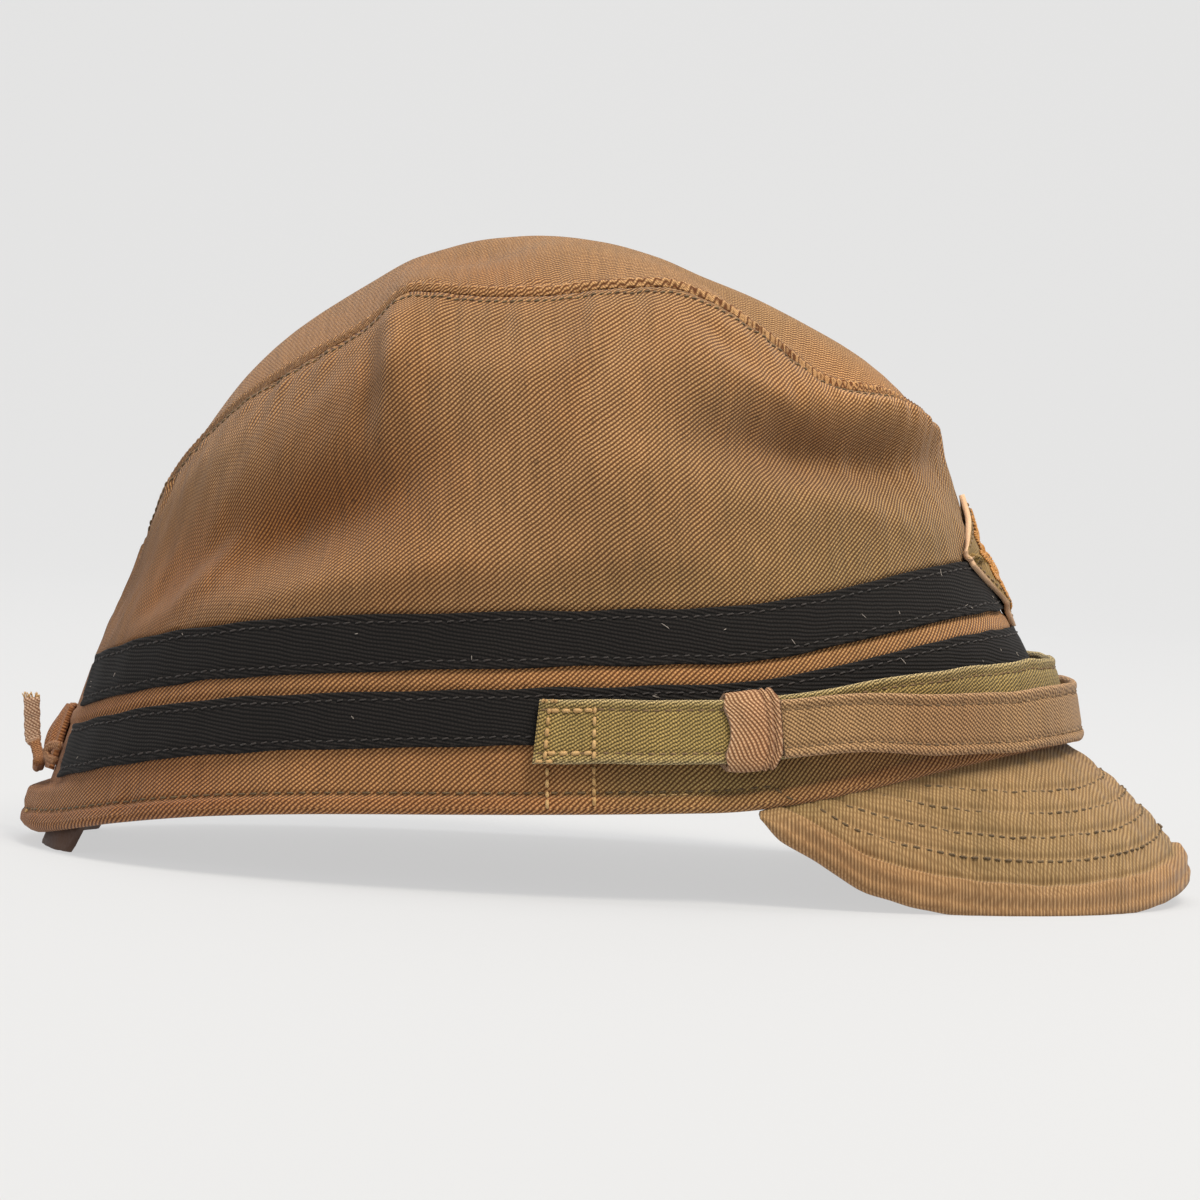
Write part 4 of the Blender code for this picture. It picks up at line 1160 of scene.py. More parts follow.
@dataclass
class Band:
    """The outer band of double cloth with its turned hem, thick and rolled at the rear."""

    shape: CapShape
    columns: int = 520
    hem_roll: float = 0.0005
    hem_line: float = 0.0040
    hem_groove: float = 0.00042
    hem_end: float = math.radians(63.0)
    hook_low: float = 0.0010
    hem_pucker: float = 0.00018
    between_puff: float = 0.0004
    unevenness: float = 0.00022

    def nominal(self, angle: Array, height: Array) -> Array:
        """A height on a band of even height, brought to the band's own height at the angle."""
        return height * self.shape.band_height(angle) / self.shape.band_height_side

    def relief(self, angle: Array, height: Array) -> Array:
        """How far the outside stands off the band's plain slope."""
        shape = self.shape
        hem = self.hem_roll * smooth_step((self.hem_line - height) / 0.0012)
        past_peak = smooth_step((np.abs(angle) - self.hem_end) / 0.05)
        sewn = past_peak * (0.2 + 0.8 * smooth_step((2.8 - np.abs(angle)) / 0.3))
        groove = -self.hem_groove * sewn * bell(height - self.hem_line, 0.0007)
        run = angle * shape.rim_length / 2
        near_hem = bell(height - self.hem_line, 0.0030)
        pucker = self.hem_pucker * near_hem * ripple(run, 0.4 * height, 0.0060, 41)
        between = (height - shape.band_height_side + shape.tape_width + shape.tape_gap) / shape.tape_gap
        puff = self.between_puff * smooth_step(4 * between) * smooth_step(4 * (1 - between))
        under_tape = smooth_step((height - shape.rear_hem_height) / 0.001)
        uneven = self.unevenness * ripple(run, height, 0.014, 42) * (1 - under_tape)
        return hem + groove + pucker * (1 - under_tape) + puff + uneven + shape.rear_swell(angle, height)

    def outside(self, angle: Array, height: Array) -> Array:
        """Points on the band's outside."""
        return self.shape.band_point(angle, self.nominal(angle, height), self.relief(angle, height))

    def tone(self, angle: Array, height: Array) -> Array:
        """Light, warm and wear: a rubbed brown, pale hem, paler cloth between the tapes, and painted shade at
        the rear and in the hem's stitched groove.
        """
        tone = self.shape.tone(self.shape.band_point(angle, height))
        hem = smooth_step((self.hem_line - height) / 0.001)
        # Painted shade: the band's rear is painted darker and browner, as the side away from the light.
        behind = smooth_step((-np.cos(angle) - 0.2) / 0.8)
        tone[..., 1] += 0.45 * hem + 0.20 * behind
        tone[..., 2] = 0.20 * hem * (1 - smooth_step((height - 0.001) / 0.002))
        tone[..., 0] += 0.20 * smooth_step((height - self.shape.rear_hem_height - 0.006) / 0.004)
        # Painted shade in the groove along the hem's stitches, from past the peak to short of the rear.
        sewn = smooth_step((np.abs(angle) - self.hem_end) / 0.05) * (1 - behind)
        tone[..., 0] += -0.25 * sewn * bell(height - self.hem_line, 0.0006) - 0.10 * behind
        return tone

    def build(self, bench: Bench) -> None:
        """Makes the band and the stitches of its hem."""
        shape = self.shape
        low = np.linspace(0.0, shape.rear_hem_height + 0.0006, 34)
        strip_top = shape.band_height_side - shape.tape_width
        strip = np.linspace(strip_top - shape.tape_gap - 0.0010, strip_top + 0.0010, 12)
        under_tape = [shape.rear_hem_height + 0.004]
        heights = np.concatenate([low, under_tape, strip, [0.036, shape.band_height_side]])
        up, depth = wall_section(heights, shape.band_wall, 12)
        index = np.arange(len(up))

        def place(angle: Array, row: Array) -> Array:
            at = row.astype(int)
            outer = 1 - depth[at] / shape.band_wall
            off = -depth[at] + outer * self.relief(angle, up[at])
            return shape.band_point(angle, self.nominal(angle, up[at]), off)

        def tint(angle: Array, row: Array, point: Array) -> Array:
            return self.tone(angle, up[row.astype(int)])

        columns = np.linspace(-math.pi, math.pi, self.columns + 1)
        work = grid_mesh(columns, index, place, tint, True, True, self.columns // 2, straight_cut)
        bench.piece("headband_cloth", work, [BAND_TWILL], "crown_twill", "headband")
        from_peak = np.linspace(self.hem_end, math.radians(174), 1100)
        hook = smooth_step((from_peak - self.hem_end) / 0.055)
        height = self.hook_low + (self.hem_line + 0.0004 - self.hook_low) * hook
        rows = []
        for side in Side:
            angle = from_peak if side is Side.LEFT else -from_peak[::-1]
            up_side = height if side is Side.LEFT else height[::-1]
            looks = {"pitch_mm": 2.7, "radius_mm": 0.21, "sink": 0.35, "seed": 6}
            rows.append(StitchRow(self.outside, angle, up_side, **looks))
        sew_rows(bench, "hem_stitches", rows, BROWN_THREAD, "crown_twill")
        self.mend(bench)

    def mend(self, bench: Bench) -> None:
        """Makes the short pale row that mends the hem below the strap, and the knot near the rear."""
        mended = np.linspace(math.radians(-79.6), math.radians(-74.6), 60)
        looks = {"pitch_mm": 1.9, "radius_mm": 0.21, "cover": 0.6, "seed": 8}
        rows = [StitchRow(self.outside, mended, np.full(60, 0.0037), **looks)]
        knot = np.radians(np.linspace(-172.6, -171.8, 12))
        looks = {"pitch_mm": 1.2, "radius_mm": 0.42, "seed": 9}
        rows.append(StitchRow(self.outside, knot, np.full(12, 0.0036), **looks))
        sew_rows(bench, "mending_stitches", rows, PALE_THREAD, "crown_twill")


def lay_strip(
    bench: Bench, strip: "Tape | StrapHalf", section: tuple[Array, Array], tint: Surface,
    ends: tuple[float, float], finish: WovenFinish, slot: str,
) -> None:
    """Makes the cloth of a strip that lies along the band.

    Args:
        bench: Where the piece is made.
        strip: Whose outside, name and number of columns it has.
        section: The height and the depth below the outside of each row.
        tint: Gives light, warm and wear for arrays of angles and heights.
        ends: The angles of its ends.
        finish: Its finish.
        slot: The record's material slot.
    """
    up, depth = section

    def place(angle: Array, row: Array) -> Array:
        at = row.astype(int)
        return strip.outside(angle, up[at]) - lay(strip.shape.band_axes(angle)[1], depth[at])

    def tone(angle: Array, row: Array, point: Array) -> Array:
        return tint(angle, up[row.astype(int)])

    columns = np.linspace(*ends, strip.columns + 1)
    index = np.arange(len(up))
    work = grid_mesh(columns, index, place, tone, False, True, strip.columns // 2, straight_cut)
    cap_ends(work)
    bench.piece(strip.name + "_cloth", work, [finish], slot, strip.name)


@dataclass
class Tape:
    """One black tape, sewn flat round the band by a row of stitches near each edge."""

    shape: CapShape
    name: str
    upper: bool
    end: float = math.radians(163.5)
    columns: int = 480
    stitch_in: float = 0.0017
    groove: float = 0.00016
    edge_wave: float = 0.00022

    def top(self, angle: Array) -> Array:
        """The height of the tape's upper edge."""
        below = 0.0 if self.upper else self.shape.tape_width + self.shape.tape_gap
        return self.shape.band_height(angle) - below

    def outside(self, angle: Array, up: Array) -> Array:
        """Points on the tape's outside, up being the height above the tape's lower edge."""
        shape = self.shape
        run = angle * shape.rim_length / 2
        seed = 51 if self.upper else 52
        wave = self.edge_wave * ripple(run, np.zeros_like(run), 0.020, seed)
        wave = wave * np.cos(math.pi * up / shape.tape_width)
        inner = np.minimum(up, shape.tape_width - up) - self.stitch_in
        pressed = -self.groove * bell(inner, 0.0006) * (1 + 0.6 * np.sin(math.tau * run / 0.0024))
        puff = 0.00012 * ripple(run, up, 0.016, seed + 4)
        height = self.top(angle) - shape.tape_width + up + wave
        return shape.band_point(angle, height, shape.gap + shape.tape_thick + pressed + puff)

    def build(self, bench: Bench) -> None:
        """Makes the tape and its stitches."""
        width = self.shape.tape_width
        section = wall_section(np.linspace(0.0, width, 19), self.shape.tape_thick, 3, 4)

        def tint(angle: Array, height: Array) -> Array:
            tone = np.zeros((*angle.shape, 3))
            tone[..., 2] = 0.10 * np.exp(-np.minimum(height, width - height) / 0.0006)
            tone[..., 0] = 0.10 * ripple(angle * 0.1, height, 0.03, 55)
            return tone

        lay_strip(bench, self, section, tint, (-self.end, self.end), BLACK_TAPE, "black_tape")
        angle = np.linspace(-self.end * 0.995, self.end * 0.995, 1300)
        rows = []
        for place_in, seed in ((self.stitch_in, 61), (width - self.stitch_in, 62)):
            looks = {"pitch_mm": 2.4, "radius_mm": 0.19, "slant_mm": 0.25, "seed": seed}
            rows.append(StitchRow(self.outside, angle, np.full(angle.shape, place_in), **looks))
        sew_rows(bench, self.name + "_stitches", rows, BLACK_THREAD, "black_tape")


@dataclass
class Peak:
    """The short peak: two layers of cloth sewn through in curved rows, with a thick rolled edge."""

    shape: CapShape
    spread: float = math.radians(67.0)
    reach: float = 0.0268
    flare: float = 0.0010
    drop: float = 0.0222
    thick: float = 0.0036
    arch: float = 0.0022
    edge_round: float = 0.0008
    columns: int = 280
    top_rows: int = 92
    row_first: float = 0.0056
    row_pitch: float = 0.0056
    row_count: int = 5
    groove: float = 0.00048
    roll: float = 0.0011
    arc_radius: float = 0.09
    thread_fan: float = 1.25

    def width_line(self, turn: Array) -> tuple[Array, Array]:
        """The inner and the outer edge of the peak's upper side."""
        end = self.shape.rim_point(np.array(self.spread))
        front = self.shape.rim_point(np.array(0.0))[0] + self.reach
        angle = turn * math.pi / 2
        x = end[0] + (front - end[0]) * np.cos(angle)
        y = (end[1] + self.flare) * np.sin(angle)
        z = -self.drop * read_curve(PEAK_EDGE, "turn", "drop", np.abs(turn))
        below = np.full(turn.shape, -self.shape.gap)
        inner = self.shape.band_point(turn * self.spread, below, -self.edge_round)
        return inner, np.stack([x, y, z], axis=-1)

    def upper(self, turn: Array, inward: Array) -> Array:
        """Points on the peak's upper side, inward being the distance from its outer edge."""
        inner, outer = self.width_line(turn)
        width = np.linalg.norm(outer - inner, axis=-1)
        share = 1 - np.clip(inward / width, 0.0, 1.0)
        arch = self.arch * 4 * share * (1 - share) * np.cos(turn * math.pi / 2 * 0.999) ** 0.5
        lift = self.shape.outward(turn * self.spread) * 0.7
        lift[..., 2] += 0.7
        number = (inward - self.row_first) / self.row_pitch
        nearest = np.clip(np.rint(number), 0, self.row_count - 1)
        from_row = (number - nearest) * self.row_pitch
        groove = -self.groove * bell(from_row, 0.0006)
        run = turn * self.arc_radius
        quilt = 0.00030 * ripple(run, inward * 0.8, 0.0060, 71)
        on_roll = smooth_step((self.row_first - inward) / 0.002) * smooth_step(inward / 0.002)
        fade = smooth_step(width / 0.012) * smooth_step(share / 0.06)
        relief = arch + fade * (groove + quilt + self.roll * on_roll)
        return inner + lay(outer - inner, share) + lay(lift, relief)

    def build(self, bench: Bench) -> None:
        """Makes the peak and its rows of stitches."""
        top = np.linspace(0.0, 1.0, self.top_rows + 1)
        bends = np.linspace(0.0, math.pi, 10)[1:-1]
        under = np.linspace(0.0, 1.0, 26)
        share = np.concatenate([top, under[::-1], np.zeros(len(bends)), [0.0]])
        depth = np.concatenate([np.zeros(len(top)), np.ones(len(under)), 0.5 + 0.5 * np.cos(bends), [0.0]])
        bulge = np.concatenate([np.zeros(len(top) + len(under)), np.sin(bends), [0.0]])

        def place(turn: Array, row: Array) -> Array:
            at = row.astype(int)
            inner, outer = self.width_line(turn)
            width = np.linalg.norm(outer - inner, axis=-1)
            upper = self.upper(turn, share[at] * width)
            out = unit(outer - inner)
            down = np.cross(out, self.shape.outward(turn * self.spread + math.pi / 2))
            down = unit(np.where((down[..., 2] < 0)[..., None], down, -down))
            thick = self.thick * smooth_step(width / 0.006)
            radius = thick / 2
            return upper + lay(down, thick * depth[at]) + lay(out, radius * (bulge[at] - 0.55))

        def tint(turn: Array, row: Array, point: Array) -> Array:
            inner, outer = self.width_line(turn)
            inward = share[row.astype(int)] * np.linalg.norm(outer - inner, axis=-1)
            tone = self.shape.tone(point)
            on_roll = smooth_step((self.row_first * 0.95 - inward) / 0.0012)
            tone[..., 1] += 0.45 * on_roll - 0.10
            tone[..., 0] += 0.06 * on_roll
            tone[..., 2] = 0.25 * on_roll * smooth_step((0.004 - inward) / 0.003)
            # Painted shade in the grooves of the stitched rows.
            number = (inward - self.row_first) / self.row_pitch
            nearest = np.clip(np.rint(number), 0, self.row_count - 1)
            tone[..., 0] -= 0.16 * bell((number - nearest) * self.row_pitch, 0.0006)
            return tone

        columns = np.linspace(-1.0, 1.0, self.columns + 1)

        def cut(along: Array, up: Array) -> tuple[Array, Array]:
            flat = place(*np.meshgrid(columns, np.arange(len(share))))
            return flat[..., 0], flat[..., 1] * self.thread_fan

        work = grid_mesh(columns, np.arange(len(share)), place, tint, False, True, self.columns // 2, cut)
        cap_ends(work)
        bench.piece("peak_cloth", work, [PEAK_TWILL], "crown_twill", "peak")
        self.sew(bench)

    def sew(self, bench: Bench) -> None:
        """Makes the curved rows of stitches, each as far round as it stays clear of the band."""
        rows = []
        turn = np.linspace(-0.985, 0.985, 900)
        inner, outer = self.width_line(turn)
        width = np.linalg.norm(outer - inner, axis=-1)
        for number in range(self.row_count):
            inward = self.row_first + number * self.row_pitch
            inside = width - inward > 0.0012
            if np.count_nonzero(inside) > 20:
                kept = turn[inside]
                looks = {"pitch_mm": 2.6, "radius_mm": 0.26, "sink": -0.9, "seed": 80 + number}
                rows.append(StitchRow(self.upper, kept, np.full(kept.shape, inward), **looks))
        sew_rows(bench, "peak_stitches", rows, BROWN_THREAD, "crown_twill")


@dataclass
class StrapHalf:
    """One half of the chin strap: folded cloth with a row of stitches near each edge."""

    shape: CapShape
    name: str
    route: Table
    width: float
    finish: WovenFinish
    slot: str
    thread: ThreadFinish
    columns: int = 320
    stitch_in: float = 0.0021
    groove: float = 0.00034
    end_slant: float = 0.0

    def outside(self, angle: Array, up: Array) -> Array:
        """Points on the strap's outside, up being the height above its lower edge."""
        shape = self.shape
        from_end = np.abs(angle - math.radians(self.route[0]["round"]))
        angle = angle + self.end_slant * (up - self.width / 2) * np.exp(-from_end / 0.08)
        degrees = np.degrees(angle)
        middle = shape.band_height_side * read_curve(self.route, "round", "height", degrees)
        layer = np.maximum(read_curve(self.route, "round", "layer", degrees), 0.0)
        run = angle * shape.rim_length / 2
        inner = np.minimum(up, self.width - up) - self.stitch_in
        pressed = -self.groove * bell(inner, 0.0005) * (1 + 0.4 * np.sin(math.tau * run / 0.0023))
        edge = 0.00022 * smooth_step(-inner / 0.0008)
        wave = 0.00022 * ripple(run, np.zeros_like(run), 0.018, len(self.name))
        stand = shape.strap_thick * read_curve(self.route, "round", "stand", degrees) * up / self.width
        off = shape.band_stack(layer) + shape.strap_thick + stand + pressed + edge
        off = off + 0.00012 * ripple(run, up, 0.010, 91)
        return shape.band_point(angle, middle - self.width / 2 + up + wave, off)

    def build(self, bench: Bench) -> None:
        """Makes the strap half and its edge stitches."""
        section = wall_section(np.linspace(0.0, self.width, 25), self.shape.strap_thick, 5, 6)

        def tint(angle: Array, height: Array) -> Array:
            edge = np.minimum(height, self.width - height)
            tone = np.zeros((*angle.shape, 3))
            tone[..., 2] = 0.75 * np.exp(-edge / 0.0008)
            tone[..., 0] = 0.10 * ripple(angle * 0.1, height, 0.03, 92) + 0.10 * np.exp(-edge / 0.0008)
            # Painted shade in the pressed groove along each row of stitches.
            tone[..., 0] -= 0.20 * bell(edge - self.stitch_in, 0.0005)
            tone[..., 1] = 0.25 * ripple(angle * 0.1, height, 0.05, 93) + 0.15 * np.exp(-edge / 0.001)
            return tone

        first = math.radians(self.route[0]["round"])
        last = math.radians(self.route[-1]["round"])
        lay_strip(bench, self, section, tint, (first, last), self.finish, self.slot)
        angle = np.linspace(first, last, 1100)
        rows = []
        for place_in, seed in ((self.stitch_in, 94), (self.width - self.stitch_in, 95)):
            looks = {"pitch_mm": 2.3, "radius_mm": 0.19, "sink": 0.2, "seed": seed}
            rows.append(StitchRow(self.outside, angle, np.full(angle.shape, place_in), **looks))
        sew_rows(bench, self.name + "_stitches", rows, self.thread, self.slot)


@dataclass
class Anchor:
    """The box of thick pale stitches at one end of the strap, with two lines that run on down the band."""

    shape: CapShape
    strap: StrapHalf
    band: Band
    side: Side
    box_long: float = 0.0092
    from_end: float = 0.0022
    arc_radius: float = 0.1085
    points: int = 60
    whip_start: float = 0.0002
    whip_end: float = 0.0040

    def build(self, bench: Bench) -> None:
        """Makes the box, the lines below it and the knots over the strap's raw end."""
        strap = self.strap
        end = math.radians(strap.route[0]["round"] if self.side is Side.RIGHT else strap.route[-1]["round"])
        inwards = -self.side.value
        near = end + inwards * self.from_end / self.arc_radius
        far = near + inwards * self.box_long / self.arc_radius
        ups = np.linspace(0.0006, strap.width - 0.0014, self.points)
        rows = []
        for number, at in enumerate((near, far)):
            rows.append(self.row(strap.outside, np.full(self.points, at), ups, 96 + number))
            low = np.linspace(0.0008 + 0.0006 * number, 0.0098, self.points)
            rows.append(self.row(self.band.outside, np.full(self.points, at), low, 98 + number))
        across = np.linspace(near, far, self.points)
        for up, seed in ((0.0022, 101), (strap.width - 0.0024, 102)):
            rows.append(self.row(strap.outside, across, np.full(self.points, up), seed))
        start = end + inwards * self.whip_start / self.arc_radius
        whip = np.linspace(start, end + inwards * self.whip_end / self.arc_radius, 30)
        rows.append(self.row(strap.outside, whip, np.full(30, strap.width - 0.0004), 103, 0.42, 1.3))
        rows.append(self.row(strap.outside, whip, np.full(30, 0.0004), 104, 0.36, 1.5))
        sew_rows(bench, strap.name + "_anchor_stitches", rows, PALE_THREAD, strap.slot)

    @staticmethod
    def row(
        surface: Surface, first: Array, second: Array, seed: int,
        radius_mm: float = 0.42, pitch_mm: float = 2.0,
    ) -> StitchRow:
        """One row of the thick pale thread."""
        looks = {"pitch_mm": pitch_mm, "radius_mm": radius_mm, "sink": 0.0, "cover": 0.8, "seed": seed}
        return StitchRow(surface, first, second, **looks)


@dataclass
class Keeper:
    """A loop of twill round one strap half, pulled narrow in the middle, with a folded edge."""

    shape: CapShape
    name: str
    side: Side
    route: Table
    width: float
    finish: WovenFinish
    slot: str
    start: float = math.radians(65.05)
    stop: float = math.radians(72.0)
    wall: float = 0.0010
    margin: float = 0.0004
    corner: float = 0.0012
    reach: float = 0.1065
    columns: int = 56
    section_points: int = 73
    squareness: float = 0.70

    @property
    def length(self) -> float:
        """How far the loop reaches along the strap."""
        return (self.stop - self.start) * self.reach

    def section(self) -> tuple[Array, Array, Array]:
        """The loop's section: heights above the strap's middle, distances off the band and ways outwards."""
        low = self.shape.band_stack(1.0) - self.shape.gap
        high = low + self.shape.strap_thick + 2 * self.shape.gap
        half = self.width / 2 + self.margin
        turn = np.linspace(0.0, math.tau, self.section_points)
        up = -np.cos(turn)
        out = np.sin(turn)
        up = np.sign(up) * np.abs(up) ** self.squareness
        out = np.sign(out) * np.abs(out) ** self.squareness
        return up * half, (high + low) / 2 + out * (high - low) / 2, np.stack([up, out], axis=-1)

    def outside(self, share: Array, turn: Array, inner: bool = False) -> Array:
        """Points on the loop: share runs along the strap and turn round the section, from 0 to 1."""
        up, off, direction = self.section()
        index = np.clip(turn, 0.0, 1.0) * (len(up) - 1)
        grid = np.arange(len(up))
        height = np.interp(index, grid, up)
        away = np.interp(index, grid, off)
        lean_up = np.interp(index, grid, direction[:, 0])
        lean_out = np.interp(index, grid, direction[:, 1])
        pinch = 0.0024 * bell(height, 0.42 * self.width) * smooth_step((away - 0.003) / 0.001)
        ends = np.array([self.start, self.stop]) * self.side.value
        first, last = sorted(ends)
        rear_share = 1 - share if self.side is Side.RIGHT else share
        angle = first + (last - first) * share - self.side.value * pinch / self.reach * rear_share
        corner = self.corner * smooth_step((np.abs(height) / (self.width / 2) - 0.70) / 0.35)
        angle = angle + corner / self.reach * (1 - 2 * share)
        middle = self.shape.band_height_side * float(
            read_curve(self.route, "round", "height", math.degrees(first + last) / 2)
        )
        from_front = (share if self.side is Side.LEFT else 1 - share) * self.length
        ridge = sum(row["out"] * bell(from_front - row["place"], row["wide"]) for row in KEEPER_RIDGES)
        uneven = 0.00025 * ripple(share * 0.014, height, 0.008, 111)
        crown = 0.0004 * np.sin(math.pi * share)
        thick = 0.0 if inner else self.wall + ridge + uneven * (1 - abs(2 * share - 1)) + crown
        return self.shape.band_point(angle, middle + height + lean_up * thick, away + lean_out * thick)

    def build(self, bench: Bench) -> None:
        """Makes the loop as a closed sleeve with an inside and an outside."""
        outer = np.linspace(0.0, 1.0, self.columns + 1)
        share = np.concatenate([outer, [1.0], outer[::-8], [0.0], outer[:1]])
        inner = np.concatenate([np.zeros(len(outer)), [0.55], np.ones(len(outer[::-8])), [0.55], [0.0]])

        def place(column: Array, turn: Array) -> Array:
            at = column.astype(int)
            out = self.outside(share[at], turn)
            ins = self.outside(share[at], turn, inner=True)
            return out + lay(ins - out, inner[at])

        def tint(column: Array, turn: Array, point: Array) -> Array:
            at = column.astype(int)
            tone = np.zeros((*column.shape, 3))
            from_edge = np.minimum(share[at], 1 - share[at])
            tone[..., 2] = 0.55 * np.exp(-from_edge / 0.06)
            tone[..., 1] = 0.30 * ripple(share[at] * 0.014, turn * 0.04, 0.02, 112)
            tone[..., 0] = 0.12 * ripple(share[at] * 0.014, turn * 0.04, 0.012, 113)
            front = share[at] if self.side is Side.LEFT else 1 - share[at]
            # Painted shade in the folds that are pressed in.
            for row in KEEPER_RIDGES[1::2]:
                tone[..., 0] -= 0.32 * bell(front * self.length - row["place"], row["wide"])
            return tone

        turns = np.linspace(0.0, 1.0, self.section_points)
        work = grid_mesh(np.arange(len(share)), turns, place, tint, True, True)
        bmesh.ops.recalc_face_normals(work, faces=work.faces)
        bench.piece(self.name + "_loop", work, [self.finish], self.slot, self.name)


@dataclass
class Patch:
    """The cloth patch on the front centre: a wide lozenge with short upright sides and plain needlework."""

    shape: CapShape
    low: float = 0.0264
    high: float = 0.0570
    side_low: float = 0.0408
    side_high: float = 0.0448
    width: float = 0.0500
    thick: float = 0.0012
    step: float = 0.0016
    boss_radius: float = 0.0046
    leaf_count: int = 7
    leaf_long: float = 0.0046
    leaf_wide: float = 0.0017
    leaf_turn: float = 0.62
    leaf_threads: int = 7
    sprig_wide: float = 0.0122
    sprig_high: float = 0.0086
    stem_threads: int = 14
    boss_threads: int = 30
    boss_hollow: float = 0.36

    @property
    def half_angle(self) -> float:
        """The angle from the front centre to the patch's side."""
        start, _, _ = self.shape.wall_line(np.array(math.pi / 2))
        return math.asin(self.width / 2 / abs(start[1]))

    def surface(self, aside: Array, share: Array) -> Array:
        """Points on the patch: aside runs from -1 to 1 across it and share from 0 to 1 up it."""
        out = np.abs(aside)
        bottom = self.low + (self.side_low - self.low) * out
        top = self.high + (self.side_high - self.high) * out
        height = bottom + (top - bottom) * share
        cockle = 0.00025 * ripple(aside * 0.02, share * 0.03, 0.012, 121)
        angle = aside * self.half_angle
        on_crown = smooth_step((height - self.shape.band_height(angle)) / self.step)
        under = self.shape.band_stack(0.0) + (2 * self.shape.gap - self.shape.band_stack(0.0)) * on_crown
        tape_low = self.shape.band_height(angle) - self.shape.tape_width
        off_tape = smooth_step((tape_low + 0.0010 - height) / 0.0020)
        under = under - self.shape.tape_thick * off_tape
        return self.shape.skin_point(angle, height, under + self.thick + cockle)

    def spot(self, x: Array, y: Array) -> Array:
        """Points on the patch at distances across from its centre line and up from its middle."""
        aside = x / (self.width / 2)
        out = np.abs(aside)
        bottom = self.low + (self.side_low - self.low) * out
        top = self.high + (self.side_high - self.high) * out
        height = (self.low + self.high) / 2 + y
        return self.surface(aside, (height - bottom) / np.maximum(top - bottom, 1e-4))

    def build(self, bench: Bench) -> None:
        """Makes the patch and its needlework."""

        def tint(aside: Array, share: Array, point: Array) -> Array:
            tone = np.zeros((*aside.shape, 3))
            edge = np.minimum(np.minimum(share, 1 - share), 1 - np.abs(aside))
            tone[..., 2] = 0.5 * np.exp(-edge / 0.05)
            tone[..., 1] = 0.3 * ripple(aside * 0.02, share * 0.03, 0.02, 122)
            tone[..., 0] = 0.12 * ripple(aside * 0.02, share * 0.03, 0.010, 123)
            return tone

        work = grid_mesh(np.linspace(-1, 1, 97), np.linspace(0, 1, 65), self.surface, tint, centre_column=48)
        patch = bench.piece("badge_patch", work, [PATCH_CLOTH, CUT_EDGE], "patch_cloth", "badge")
        give_wall(patch, self.thick, edge_material=1)
        self.embroider(bench)

    def thread(self, work: bmesh.types.BMesh, start: Spot, end: Spot, radius: float, lift: float) -> None:
        """Lays one thread of the embroidery between two places on the patch."""
        share = np.linspace(0.0, 1.0, 7)
        x = start[0] + (end[0] - start[0]) * share
        y = start[1] + (end[1] - start[1]) * share
        on = self.spot(x, y)
        step = 2e-4
        normal = unit(np.cross(self.spot(x + step, y) - on, self.spot(x, y + step) - on))
        add_thread(work, to_row(on + lay(normal, lift * np.sin(math.pi * share))), radius)

    def embroider(self, bench: Bench) -> None:
        """Makes a small round boss between two sprigs of leaves, and the stitches along the patch's edge."""
        work = bmesh.new()
        for k in range(self.boss_threads):
            turn = math.tau * k / self.boss_threads
            hollow = self.boss_hollow * self.boss_radius
            inner = (hollow * math.cos(turn), hollow * math.sin(turn))
            outer = (self.boss_radius * math.cos(turn), self.boss_radius * math.sin(turn))
            self.thread(work, inner, outer, 0.00028, 0.0008)
        for ring, count in ((0.0, 1), (0.0011, 6)):
            for k in range(count):
                turn = math.tau * k / count
                centre = (ring * math.cos(turn), ring * math.sin(turn))
                ahead = (centre[0] + 0.0006, centre[1] + 0.0003)
                self.thread(work, (centre[0] - 0.0006, centre[1] - 0.0003), ahead, 0.00042, 0.0007)
        for side in Side:
            for k in range(self.leaf_count):
                turn = math.radians(-82 + 150 * k / (self.leaf_count - 1))
                ahead = math.atan2(math.cos(turn), -side.value * math.sin(turn))
                for way in (-1, 1):
                    self.leaf(work, self.on_sprig(side, turn), ahead + way * self.leaf_turn)
            for k in range(self.stem_threads):
                turns = [math.radians(-86 + 160 * (k + part) / self.stem_threads) for part in (0.0, 0.95)]
                ends = [self.on_sprig(side, turn) for turn in turns]
                self.thread(work, ends[0], ends[1], 0.00026, 0.0003)
        finish_threads(work)
        bench.piece("badge_embroidery", work, [GOLD_THREAD], "patch_cloth")
        rows = []
        out = np.linspace(-0.96, 0.96, 220)
        for share, seed in ((0.06, 131), (0.94, 132)):
            looks = {"pitch_mm": 1.9, "radius_mm": 0.22, "seed": seed}
            rows.append(StitchRow(self.surface, out, np.full(out.shape, share), **looks))
        sew_rows(bench, "badge_edge_stitches", rows, TAN_THREAD, "patch_cloth")

    def on_sprig(self, side: Side, turn: float) -> Spot:
        """A place on the stem of the sprig at one side of the boss."""
        return side.value * self.sprig_wide * math.cos(turn), self.sprig_high * math.sin(turn)

    def leaf(self, work: bmesh.types.BMesh, root: Spot, turn: float) -> None:
        """Lays the slanting threads of one leaf from its root on the stem."""
        ahead = (math.cos(turn), math.sin(turn))
        beside = (-ahead[1], ahead[0])
        for k in range(self.leaf_threads):
            at = self.leaf_long * (0.12 + 0.80 * k / (self.leaf_threads - 1))
            half = self.leaf_wide * math.sin(math.pi * (0.14 + 0.78 * k / (self.leaf_threads - 1)))
            for way in (-1, 1):
                start = (root[0] + ahead[0] * at, root[1] + ahead[1] * at)
                end_at = at + 0.7 * half
                end = (
                    root[0] + ahead[0] * end_at + way * beside[0] * half,
                    root[1] + ahead[1] * end_at + way * beside[1] * half,
                )
                self.thread(work, start, end, 0.00024, 0.0004)


